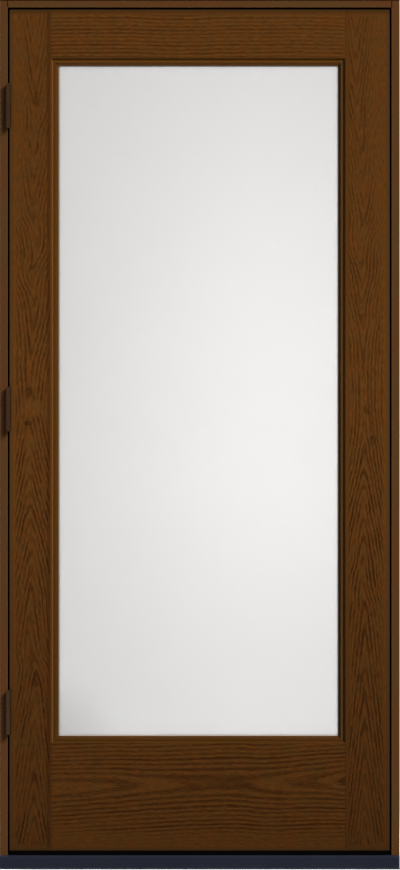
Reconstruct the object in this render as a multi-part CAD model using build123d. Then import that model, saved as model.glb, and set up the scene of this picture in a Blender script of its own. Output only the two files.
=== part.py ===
"""Front door, hung in its frame: a fibreglass-skinned slab with one tall frosted glass, outward opening.

Millimetres. X runs to the right, Y runs from the outside to the inside, Z is up.
The origin is on the underside of the sill, midway between the jambs, in the plane of their outside edges.
The door opens towards -Y on three butt hinges at the left jamb.
"""
from build123d import *
import os
from math import radians, tan

# Driving dimensions of the hung unit
UNIT_WIDTH = 952.5
UNIT_HEIGHT = 2070.1
JAMB_DEPTH = 115.9
JAMB_THICKNESS = 31.75
STOP_PROJECTION = 12.7
EASED_EDGE = 1.5

# Gaps round the slab
REVEAL = 5.1
SLAB_SETBACK = 1.6
SLAB_BASE = 43.0
SEAL_GAP = 9.5
SEAL_CLEARANCE = 1.0

# Weather seals and the kerfs they are pressed into
KERF_WIDTH = 3.0
KERF_DEPTH = 10.0
BULB_WIDTH = 11.5
BULB_ROUND = 3.6
BULB_INSET = 0.5
STEM = 2.0
STEM_LENGTH = 8.0
BARB = 2.8
BARB_LENGTH = 1.2
BARB_PLACE = 5.5

# Sill, from the floor up
SILL_PROJECTION = 30.0
SILL_HEIGHT = 32.5
DECK_SLOPE = 0.083
DECK_THICKNESS = 2.0
NOSE_ROUND = 3.0
FOOT_HEIGHT = 4.2
FOOT_LEDGE = 1.2
FLUTE_COUNT = 12
FLUTE_PITCH = 6.0
FLUTE_START = -24.0
FLUTE_WIDTH = 1.4
BUMPER_HEIGHT = 60.0
BUMPER_TOP = 11.0
BUMPER_FOOT = 6.0
BUMPER_WALL = 2.4
BUMPER_WEB = 74.0
INSIDE_LIP = 36.0
SLOT_DEPTH = 5.0
SLOT_WIDTH = 2.4
THRESHOLD_SEAL_HEIGHT = 51.0
THRESHOLD_BULB = 9.5

# Slab
SLAB_THICKNESS = 44.45
SKIN = 2.0
SKIN_EDGE_ROUND = 1.6
EDGE_STILE = 44.0
EDGE_TOP_RAIL = 44.0
EDGE_BOTTOM_RAIL = 62.0
LOCK_BEVEL = 3.0
FOAM_JOINT = 0.5
GROOVE_WIDTH = 1.4
GROOVE_DEPTH = 0.6
GROOVE_STOP = 8.0

# Glass, a little nearer the hinges than the lock, and its beads
DAYLIGHT_WIDTH = 665.6
DAYLIGHT_BOTTOM = 316.7
DAYLIGHT_TOP = 1913.2
DAYLIGHT_SHIFT = -3.1
PANE = 3.2
GLASS_UNIT = 19.0
GLASS_CLEARANCE = 3.0
TAPE = 1.6
TAPE_WIDTH = 9.0
SPACER_WIDTH = 7.0
SPACER_INSET = 2.0
BEAD_WIDTH = 17.5
BEAD_SETBACK = 0.5
BEAD_SHOULDER = 0.6
BEAD_SHELF_DEPTH = 5.2
BEAD_SHELF_START = 3.8
BEAD_SHELF_END = 11.0
BEAD_STEP = 0.8
BEAD_COVE = 5.4
BEAD_OVOLO = 6.4
BEAD_FOOT = 16.6
BEAD_LIP = 0.7

# Hinges
HINGE_HEIGHT = 101.6
LEAF_WIDTH = 50.8
LEAF = 2.3
LEAF_CORNER = 15.9
KNUCKLES = 5
KNUCKLE_RADIUS = 5.5
KNUCKLE_PLAY = 0.3
KNUCKLE_RELIEF = 0.7
PIN_RADIUS = 3.175
PIN_PLAY = 0.05
PIN_OFFSET = 12.7
PIN_TIP = 3.0
PIN_TIP_RADIUS = 5.0
PIN_TIP_CHAMFER = 1.0
TOP_HINGE_DROP = 178.0
BOTTOM_HINGE_RISE = 279.0

# Sweep under the slab
SWEEP_BODY = 3.0
SWEEP_INSET = 3.0
SWEEP_FRONT_INSET = 1.0
FIN = 1.6
FIN_PLACES = (0.0, 0.5, 1.0)
FIN_CLEARANCE = 1.0

# Worked out from the above
HALF_UNIT = UNIT_WIDTH / 2
JAMB_RABBET = JAMB_THICKNESS - STOP_PROJECTION
RABBET_FACE = HALF_UNIT - JAMB_RABBET
STOP_EDGE = HALF_UNIT - JAMB_THICKNESS
SLAB_HALF = RABBET_FACE - REVEAL
SLAB_TOP = UNIT_HEIGHT - JAMB_RABBET - REVEAL
SLAB_FRONT = SLAB_SETBACK
SLAB_BACK = SLAB_FRONT + SLAB_THICKNESS
SLAB_MIDDLE = SLAB_FRONT + SLAB_THICKNESS / 2
SLAB_WIDTH_SPAN = (-SLAB_HALF, SLAB_HALF)
SLAB_HEIGHT_SPAN = (SLAB_BASE, SLAB_TOP)
STOP_FACE = SLAB_BACK + SEAL_GAP
BUMPER_FRONT = STOP_FACE - BUMPER_FOOT
LITE_HALF = DAYLIGHT_WIDTH / 2 + BEAD_WIDTH
LITE_LEFT = DAYLIGHT_SHIFT - LITE_HALF
LITE_RIGHT = DAYLIGHT_SHIFT + LITE_HALF
LITE_BOTTOM = DAYLIGHT_BOTTOM - BEAD_WIDTH
LITE_TOP = DAYLIGHT_TOP + BEAD_WIDTH
GLASS_DEPTH = (SLAB_THICKNESS - GLASS_UNIT) / 2
BEAD_DEPTH = GLASS_DEPTH - TAPE
HINGE_X = -(SLAB_HALF + REVEAL / 2)
HINGE_Y = SLAB_FRONT - PIN_OFFSET
TOP_HINGE = SLAB_TOP - TOP_HINGE_DROP - HINGE_HEIGHT / 2
BOTTOM_HINGE = SLAB_BASE + BOTTOM_HINGE_RISE + HINGE_HEIGHT / 2
HINGE_CENTRES = {"top": TOP_HINGE, "middle": (TOP_HINGE + BOTTOM_HINGE) / 2, "bottom": BOTTOM_HINGE}

TOOL_REACH = 1.0


def block(x, y, z):
    """A box given by its low and high coordinate on each axis."""
    size = [high - low for low, high in (x, y, z)]
    middle = [(low + high) / 2 for low, high in (x, y, z)]
    return Pos(*middle) * Box(*size)


def outline(*points):
    """A closed flat face through straight-sided points."""
    return make_face(Polyline(*points, close=True))


def across(section, low=-HALF_UNIT, high=HALF_UNIT):
    """A section drawn as (depth, height), run along X."""
    plane = Plane(origin=(low, 0, 0), x_dir=(0, 1, 0), z_dir=(1, 0, 0))
    return extrude(plane * section, high - low)


def mirrored(shape):
    """The same shape on the other side of the unit."""
    return mirror(shape, about=Plane.YZ)


# Frame


def jamb_section():
    """Rabbeted jamb as (thickness from the wall side, depth from the outside)."""
    corner = (JAMB_RABBET, 0)
    stop = (JAMB_THICKNESS, STOP_FACE)
    back = (JAMB_THICKNESS, JAMB_DEPTH)
    face = outline((0, 0), corner, (JAMB_RABBET, STOP_FACE), stop, back, (0, JAMB_DEPTH))
    shown = [(x, round(y, 3)) for x, y in (corner, stop, back)]
    eased = [v for v in face.vertices() if (round(v.X, 3), round(v.Y, 3)) in shown]
    kerf = Pos(JAMB_RABBET + KERF_WIDTH / 2, STOP_FACE + KERF_DEPTH / 2) * Rectangle(KERF_WIDTH, KERF_DEPTH)
    return fillet(eased, EASED_EDGE) - kerf


def side_cover():
    """The side jamb's thick part, which the ends of the head are notched round."""
    depth = JAMB_DEPTH - STOP_FACE
    return Pos(JAMB_THICKNESS / 2, STOP_FACE + depth / 2) * Rectangle(JAMB_THICKNESS, depth)


def bulb_profile(width, depth):
    """A soft bulb that sits on Y 0 and reaches to -Y, its two far corners rounded."""
    face = Pos(0, -depth / 2) * Rectangle(width, depth)
    return fillet(face.vertices().group_by(Axis.Y)[0], BULB_ROUND)


def seal_section():
    """Foam-filled seal: a barbed stem in the kerf and a soft bulb that the slab closes against."""
    left = JAMB_RABBET + BULB_INSET
    stem_middle = left + STEM / 2
    bulb = Pos(left + BULB_WIDTH / 2, STOP_FACE) * bulb_profile(BULB_WIDTH, SEAL_GAP - SEAL_CLEARANCE)
    stem = Pos(stem_middle, STOP_FACE + STEM_LENGTH / 2) * Rectangle(STEM, STEM_LENGTH)
    barbs = Pos(stem_middle, STOP_FACE + BARB_PLACE) * Rectangle(BARB, BARB_LENGTH)
    return stem + bulb + barbs


def left_upright(section, top=UNIT_HEIGHT):
    """A jamb's section run up the left side from the floor."""
    plane = Plane(origin=(-HALF_UNIT, 0, 0), x_dir=(1, 0, 0), z_dir=(0, 0, 1))
    return extrude(plane * section, top)


def head_run(section, half_length):
    """A jamb's section turned under the unit's top edge."""
    plane = Plane(origin=(-half_length, 0, UNIT_HEIGHT), x_dir=(0, 0, -1), z_dir=(1, 0, 0))
    return extrude(plane * section, 2 * half_length)


def make_frame():
    """Side jambs that run through, the head between them, and their seals."""
    sill = across(sill_section())
    upright = left_upright(jamb_section()) - sill
    hinge_jamb = upright
    for mortise in leaf_mortises(-1):
        hinge_jamb -= mortise
    cover = left_upright(side_cover())
    head = head_run(jamb_section(), RABBET_FACE) - cover - mirrored(cover)
    side_seal = left_upright(seal_section(), UNIT_HEIGHT - JAMB_THICKNESS)
    head_seal = head_run(seal_section(), STOP_EDGE) - side_seal - mirrored(side_seal)
    side_seal -= sill
    return {
        "hinge_jamb": hinge_jamb,
        "strike_jamb": mirrored(upright),
        "head_jamb": head,
        "hinge_side_seal": side_seal,
        "strike_side_seal": mirrored(side_seal),
        "head_seal": head_seal,
    }


# Sill: a fluted metal deck over a solid base, and a hollow bumper behind the slab


def deck_height(y):
    """Height of the sloping deck at a depth."""
    return SILL_HEIGHT + y * DECK_SLOPE


def sill_section():
    """The whole sill's outer line as (depth, height)."""
    face_y = FOOT_LEDGE - SILL_PROJECTION
    section = outline(
        (-SILL_PROJECTION, 0),
        (-SILL_PROJECTION, FOOT_HEIGHT),
        (face_y, FOOT_HEIGHT + FOOT_LEDGE),
        (face_y, deck_height(face_y)),
        (STOP_FACE, deck_height(STOP_FACE)),
        (STOP_FACE, BUMPER_HEIGHT),
        (STOP_FACE + BUMPER_TOP, BUMPER_HEIGHT),
        (JAMB_DEPTH, INSIDE_LIP),
        (JAMB_DEPTH, 0),
    )
    nose = [v for v in section.vertices() if v.X < 0 and v.Y > SILL_HEIGHT / 2]
    return fillet(nose, NOSE_ROUND)


def base_section():
    """What lies under the deck's metal."""
    front = FOOT_LEDGE + DECK_THICKNESS - SILL_PROJECTION
    return outline(
        (front, 0),
        (front, deck_height(front) - DECK_THICKNESS),
        (BUMPER_FRONT, deck_height(BUMPER_FRONT) - DECK_THICKNESS),
        (BUMPER_FRONT, 0),
    )


def deck_flutes():
    """The fine grooves along the deck that keep a foot from slipping."""
    half = FLUTE_WIDTH / 2
    flutes = Sketch()
    for number in range(FLUTE_COUNT):
        y = FLUTE_START + number * FLUTE_PITCH
        z = deck_height(y)
        flutes += outline((y - half, z), (y, z - half), (y + half, z), (y, z + half))
    return flutes


def bumper_section(behind):
    """The bumper as an extrusion with two chambers and a slot for its seal."""
    solid = sill_section() & behind
    chambers = offset(solid, amount=-BUMPER_WALL, kind=Kind.INTERSECTION)
    chambers -= Pos(BUMPER_WEB, BUMPER_HEIGHT / 2) * Rectangle(BUMPER_WALL, 2 * BUMPER_HEIGHT)
    slot_middle = Pos(STOP_FACE + SLOT_DEPTH / 2, THRESHOLD_SEAL_HEIGHT)
    chambers -= slot_middle * Rectangle(SLOT_DEPTH + 2 * BUMPER_WALL, SLOT_WIDTH + 2 * BUMPER_WALL)
    return solid - chambers - slot_middle * Rectangle(SLOT_DEPTH, SLOT_WIDTH)


def threshold_seal_section():
    """Bulb on the bumper's front, with its stem in the slot."""
    bulb = bulb_profile(THRESHOLD_BULB, SEAL_GAP - SEAL_CLEARANCE)
    stem = Pos(STOP_FACE + SLOT_DEPTH / 2, THRESHOLD_SEAL_HEIGHT) * Rectangle(SLOT_DEPTH, STEM)
    return stem + Pos(STOP_FACE, THRESHOLD_SEAL_HEIGHT) * Rot(0, 0, -90) * bulb


def make_sill():
    """Sill deck, base, bumper and bumper seal."""
    depth = JAMB_DEPTH - BUMPER_FRONT
    behind = Pos(BUMPER_FRONT + depth / 2, BUMPER_HEIGHT / 2) * Rectangle(depth, 2 * BUMPER_HEIGHT)
    deck = sill_section() - behind - base_section() - deck_flutes()
    return {
        "sill_deck": across(deck),
        "sill_base": across(base_section()),
        "threshold_bumper": across(bumper_section(behind)),
        "threshold_seal": across(threshold_seal_section(), -STOP_EDGE, STOP_EDGE),
    }


# Slab


def slab_envelope():
    """The slab's outer form: square on the hinge edge, planed back on the lock edge."""
    plane = Plane(origin=(0, 0, SLAB_BASE), x_dir=(1, 0, 0), z_dir=(0, 0, 1))
    planed = SLAB_HALF - SLAB_THICKNESS * tan(radians(LOCK_BEVEL))
    hinge_edge = ((-SLAB_HALF, SLAB_BACK), (-SLAB_HALF, SLAB_FRONT))
    lock_edge = ((SLAB_HALF, SLAB_FRONT), (planed, SLAB_BACK))
    return extrude(plane * outline(*hinge_edge, *lock_edge), SLAB_TOP - SLAB_BASE)


def lite_opening():
    """The hole through the slab that the glass and its beads fill."""
    through = (SLAB_FRONT - TOOL_REACH, SLAB_BACK + TOOL_REACH)
    return block((LITE_LEFT, LITE_RIGHT), through, (LITE_BOTTOM, LITE_TOP))


def joint_grooves(face_y):
    """The fine lines where the rails meet the stiles, moulded in a skin."""
    half = GROOVE_WIDTH / 2
    vee = outline((-half, 0), (0, GROOVE_DEPTH), (half, 0), (0, -GROOVE_DEPTH))
    grooves = []
    for x in (LITE_LEFT, LITE_RIGHT):
        for low, high in ((SLAB_BASE + GROOVE_STOP, LITE_BOTTOM), (LITE_TOP, SLAB_TOP - GROOVE_STOP)):
            plane = Plane(origin=(x, face_y, low), x_dir=(1, 0, 0), z_dir=(0, 0, 1))
            grooves.append(extrude(plane * vee, high - low))
    return grooves


def skin(face_y, inward):
    """One moulded face of the slab. The inward sign is +1 on the outside face and -1 on the inside face."""
    depth = sorted((face_y, face_y + inward * SKIN))
    body = block(SLAB_WIDTH_SPAN, depth, SLAB_HEIGHT_SPAN) & slab_envelope()
    shown = body.faces().sort_by(Axis.Y)[0 if inward > 0 else -1]
    body = fillet(shown.outer_wire().edges(), SKIN_EDGE_ROUND) - lite_opening()
    for groove in joint_grooves(face_y):
        body -= groove
    return body


def make_slab():
    """Skins, edge stiles and rails, and the foam between them."""
    deep = (SLAB_FRONT + SKIN, SLAB_BACK - SKIN)
    inner = SLAB_HALF - EDGE_STILE
    rail_top = SLAB_TOP - EDGE_TOP_RAIL
    rail_bottom = SLAB_BASE + EDGE_BOTTOM_RAIL
    beside = (LITE_LEFT + FOAM_JOINT, LITE_RIGHT - FOAM_JOINT)
    foam = [
        block((-inner, LITE_LEFT), deep, (rail_bottom, rail_top)),
        block((LITE_RIGHT, inner), deep, (rail_bottom, rail_top)),
        block(beside, deep, (LITE_TOP, rail_top)),
        block(beside, deep, (rail_bottom, LITE_BOTTOM)),
    ]
    pieces = {
        "outside_skin": skin(SLAB_FRONT, 1),
        "inside_skin": skin(SLAB_BACK, -1),
        "hinge_stile": block((-SLAB_HALF, -inner), deep, SLAB_HEIGHT_SPAN),
        "lock_stile": block((inner, SLAB_HALF), deep, SLAB_HEIGHT_SPAN) & slab_envelope(),
        "top_rail": block((-inner, inner), deep, (rail_top, SLAB_TOP)),
        "bottom_rail": block((-inner, inner), deep, (SLAB_BASE, rail_bottom)),
        "foam_core": Compound(children=foam),
    }
    for mortise in leaf_mortises(1):
        pieces["hinge_stile"] -= mortise
        pieces["outside_skin"] -= mortise
    return pieces


def make_sweep():
    """Soft strip under the slab with three fins that run just above the deck."""
    span = (SWEEP_INSET - SLAB_HALF, SLAB_HALF - SWEEP_INSET)
    front, back = SLAB_FRONT + SWEEP_FRONT_INSET, SLAB_BACK - SWEEP_INSET
    body_base = SLAB_BASE - SWEEP_BODY
    sweep = block(span, (front, back), (body_base, SLAB_BASE))
    for place in FIN_PLACES:
        y = front + place * (back - front - FIN)
        sweep += block(span, (y, y + FIN), (deck_height(y + FIN) + FIN_CLEARANCE, body_base))
    return sweep


# Glass unit and its mitred beads


def bead_section():
    """Bead as (depth below the slab's face, distance in from the opening): cove, shelf, ovolo and lip."""
    step_depth = BEAD_SHELF_DEPTH + BEAD_STEP
    lip_depth = BEAD_DEPTH - BEAD_LIP
    edge = [
        Line((BEAD_SETBACK, 0), (BEAD_SETBACK, BEAD_SHOULDER)),
        RadiusArc((BEAD_SETBACK, BEAD_SHOULDER), (BEAD_SHELF_DEPTH, BEAD_SHELF_START), BEAD_COVE),
        Line((BEAD_SHELF_DEPTH, BEAD_SHELF_START), (BEAD_SHELF_DEPTH, BEAD_SHELF_END)),
        Line((BEAD_SHELF_DEPTH, BEAD_SHELF_END), (step_depth, BEAD_SHELF_END)),
        RadiusArc((step_depth, BEAD_SHELF_END), (lip_depth, BEAD_FOOT), -BEAD_OVOLO),
        Line((lip_depth, BEAD_FOOT), (lip_depth, BEAD_WIDTH)),
        Line((lip_depth, BEAD_WIDTH), (BEAD_DEPTH, BEAD_WIDTH)),
        Line((BEAD_DEPTH, BEAD_WIDTH), (BEAD_DEPTH, 0)),
        Line((BEAD_DEPTH, 0), (BEAD_SETBACK, 0)),
    ]
    return make_face(Wire(edge))


def bead(length):
    """A bead along X with both ends mitred. Its wall side is at Z 0 and its show face looks to -Y."""
    half = length / 2
    bar = across(bead_section(), -half, half)
    mitre = outline((-half, 0), (half, 0), (half - BEAD_WIDTH, BEAD_WIDTH), (BEAD_WIDTH - half, BEAD_WIDTH))
    back = Plane(origin=(0, BEAD_DEPTH, 0), x_dir=(1, 0, 0), z_dir=(0, -1, 0))
    return bar & extrude(back * mitre, BEAD_DEPTH)


def make_beads():
    """Four beads on the outside face and four on the inside face."""
    wide = bead(LITE_RIGHT - LITE_LEFT)
    tall = bead(LITE_TOP - LITE_BOTTOM)
    middle_height = (LITE_BOTTOM + LITE_TOP) / 2
    outside = {
        "bottom": Pos(DAYLIGHT_SHIFT, SLAB_FRONT, LITE_BOTTOM) * wide,
        "top": Pos(DAYLIGHT_SHIFT, SLAB_FRONT, LITE_TOP) * Rot(0, 180, 0) * wide,
        "hinge_side": Pos(LITE_LEFT, SLAB_FRONT, middle_height) * Rot(0, 90, 0) * tall,
        "lock_side": Pos(LITE_RIGHT, SLAB_FRONT, middle_height) * Rot(0, -90, 0) * tall,
    }
    slab_middle = Plane(origin=(0, SLAB_MIDDLE, 0), x_dir=(1, 0, 0), z_dir=(0, 1, 0))
    beads = {}
    for place, piece in outside.items():
        beads[f"outside_bead_{place}"] = piece
        beads[f"inside_bead_{place}"] = mirror(piece, about=slab_middle)
    return beads


def glass_block(inset, depth):
    """A block as wide and high as the glass, drawn in all round by an inset."""
    edge = GLASS_CLEARANCE + inset
    return block((LITE_LEFT + edge, LITE_RIGHT - edge), depth, (LITE_BOTTOM + edge, LITE_TOP - edge))


def glass_ring(inset, band, depth):
    """A flat ring round the glass: its outer inset, its width and its low and high depth."""
    through = (depth[0] - TOOL_REACH, depth[1] + TOOL_REACH)
    return glass_block(inset, depth) - glass_block(inset + band, through)


def make_glass():
    """Two panes, the spacer between them and the tape that beds each bead on the glass."""
    front = SLAB_FRONT + GLASS_DEPTH
    back = front + GLASS_UNIT
    return {
        "outside_pane": glass_block(0, (front, front + PANE)),
        "inside_pane": glass_block(0, (back - PANE, back)),
        "glass_spacer": glass_ring(SPACER_INSET, SPACER_WIDTH, (front + PANE, back - PANE)),
        "outside_glazing_tape": glass_ring(0, TAPE_WIDTH, (front - TAPE, front)),
        "inside_glazing_tape": glass_ring(0, TAPE_WIDTH, (back, back + TAPE)),
    }


# Hinges


def leaf_plate():
    """A leaf's flat plate as (distance from the pin, height), with its two far corners rounded."""
    plate = Pos(LEAF_WIDTH / 2, 0) * Rectangle(LEAF_WIDTH, HINGE_HEIGHT - KNUCKLE_PLAY)
    far = plate.vertices().group_by(Axis.X)[-1]
    return fillet(far, LEAF_CORNER)


def upright_leaf(side):
    """The plate stood beside the pin: side -1 lies on the jamb and +1 on the slab."""
    plane = Plane(origin=(side * REVEAL / 2, 0, 0), x_dir=(0, 1, 0), z_dir=(1, 0, 0))
    return extrude(plane * leaf_plate(), side * LEAF)


def leaf(side):
    """One leaf with its knuckles: the jamb's has the odd ones from the bottom, the slab's the even ones."""
    pitch = HINGE_HEIGHT / KNUCKLES
    body = upright_leaf(side)
    for number in range(KNUCKLES):
        spot = Pos(0, 0, pitch * (number + 0.5) - HINGE_HEIGHT / 2)
        own = (number % 2 == 0) == (side < 0)
        if own:
            body += spot * Cylinder(KNUCKLE_RADIUS, pitch - KNUCKLE_PLAY)
        else:
            body -= spot * Cylinder(KNUCKLE_RADIUS + KNUCKLE_RELIEF, pitch + KNUCKLE_PLAY)
    return body - Cylinder(PIN_RADIUS + PIN_PLAY, HINGE_HEIGHT + TOOL_REACH)


def hinge_pin():
    """The pin with a button at each end, seated on the outermost knuckles."""
    reach = (HINGE_HEIGHT - KNUCKLE_PLAY) / 2
    button = Cylinder(PIN_TIP_RADIUS, PIN_TIP, align=(Align.CENTER, Align.CENTER, Align.MIN))
    button = chamfer(button.edges().sort_by(Axis.Z)[-1], PIN_TIP_CHAMFER)
    shaft = Cylinder(PIN_RADIUS, 2 * reach)
    return shaft + Pos(0, 0, reach) * button + Pos(0, 0, -reach) * Rot(180, 0, 0) * button


def make_hinges():
    """Jamb leaf, slab leaf and pin for each of the three hinges."""
    pieces = {}
    for place, height in HINGE_CENTRES.items():
        spot = Pos(HINGE_X, HINGE_Y, height)
        pieces[f"{place}_hinge_jamb_leaf"] = spot * leaf(-1)
        pieces[f"{place}_hinge_door_leaf"] = spot * leaf(1)
        pieces[f"{place}_hinge_pin"] = spot * hinge_pin()
    return pieces


def leaf_mortises(side):
    """The shallow seats that the leaves are let into, on the jamb or on the slab."""
    return [Pos(HINGE_X, HINGE_Y, height) * upright_leaf(side) for height in HINGE_CENTRES.values()]


def main():
    """Builds every piece and writes one file for each."""
    pieces = {**make_frame(), **make_sill(), **make_slab(), **make_glass(), **make_beads(), **make_hinges()}
    pieces["door_sweep"] = make_sweep()
    os.makedirs("parts", exist_ok=True)
    for name, piece in pieces.items():
        export_step(piece, f"parts/{name}.step")


main()
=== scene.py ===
"""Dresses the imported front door: stained oak skins, satin glass, seals, sill and hinge screws.

Metres, in the part's own frame: X runs to the right, Y from the outside to the inside, Z up.
"""
import logging
import math
from dataclasses import dataclass, field
from enum import Enum
from functools import reduce

import bmesh
import bpy
from mathutils import Matrix, Vector


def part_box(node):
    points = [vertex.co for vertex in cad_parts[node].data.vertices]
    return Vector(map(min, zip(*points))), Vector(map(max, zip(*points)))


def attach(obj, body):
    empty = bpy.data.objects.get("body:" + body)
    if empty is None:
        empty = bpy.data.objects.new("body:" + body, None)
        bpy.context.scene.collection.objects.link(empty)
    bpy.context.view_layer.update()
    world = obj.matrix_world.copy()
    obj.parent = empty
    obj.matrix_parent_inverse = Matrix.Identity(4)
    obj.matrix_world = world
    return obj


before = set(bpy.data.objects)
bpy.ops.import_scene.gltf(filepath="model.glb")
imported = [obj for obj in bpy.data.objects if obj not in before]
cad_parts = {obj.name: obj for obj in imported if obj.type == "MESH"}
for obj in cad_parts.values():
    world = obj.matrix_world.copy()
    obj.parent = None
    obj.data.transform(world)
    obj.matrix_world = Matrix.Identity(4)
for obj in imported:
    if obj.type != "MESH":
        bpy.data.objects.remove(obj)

LOG = logging.getLogger("front_door")
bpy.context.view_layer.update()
MM = 0.001
# Specular level of stained wood and of the stained skins
WOOD_GLOSS = 0.05
# Width of an arris painted light as a highlight, and the distances between which that painted highlight ends
ARRIS_HIGHLIGHT_WIDTH = 0.8 * MM
ARRIS_HIGHLIGHT_ENDS = (1.2 * ARRIS_HIGHLIGHT_WIDTH, 0.8 * ARRIS_HIGHLIGHT_WIDTH)
# The values between which most of a noise lies
MOST_NOISE = (0.3, 0.7)

Socket = bpy.types.NodeSocket
Value = float | Socket
Colour = tuple[float, float, float, float]
Pair = tuple[float, float]
Triple = tuple[float, float, float]
Spot = tuple[float, float, float, float, float]


class Grain(Enum):
    """Which way a wooden figure runs."""

    UPRIGHT = "upright"
    LEVEL = "level"

    def directions(self, graph: "Graph") -> tuple[Socket, Socket]:
        """Gives the place along this grain and the place across it."""
        return (graph.z, graph.x) if self is Grain.UPRIGHT else (graph.x, graph.z)


class Side(Enum):
    """A face of the slab, with the sign of its outward direction along Y."""

    OUTSIDE = -1
    INSIDE = 1


def shade(red: int, green: int, blue: int) -> Colour:
    """Turns a shown colour into the linear colour that a shader takes, by the sRGB curve.

    Args:
        red: Shown red, from 0 to 255.
        green: Shown green, from 0 to 255.
        blue: Shown blue, from 0 to 255.

    Returns:
        Linear red, green and blue, and an alpha of 1.
    """
    linear = []
    for channel in (red, green, blue):
        share = channel / 255
        linear.append(share / 12.92 if share <= 0.04045 else ((share + 0.055) / 1.055) ** 2.4)
    return (linear[0], linear[1], linear[2], 1.0)


def looked_at(tree: bpy.types.NodeTree) -> Socket:
    """Tells the rays of the camera, of gloss and of glass from the light that the scene bounces.

    Args:
        tree: The nodes of a material or of the world.

    Returns:
        A socket that gives 1 to those rays and 0 to the others.
    """
    rays = tree.nodes.new("ShaderNodeLightPath").outputs
    share = rays["Is Camera Ray"]
    for name in ("Is Glossy Ray", "Is Transmission Ray"):
        either = tree.nodes.new("ShaderNodeMath")
        either.operation = "MAXIMUM"
        tree.links.new(share, either.inputs[0])
        tree.links.new(rays[name], either.inputs[1])
        share = either.outputs[0]
    return share


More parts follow.
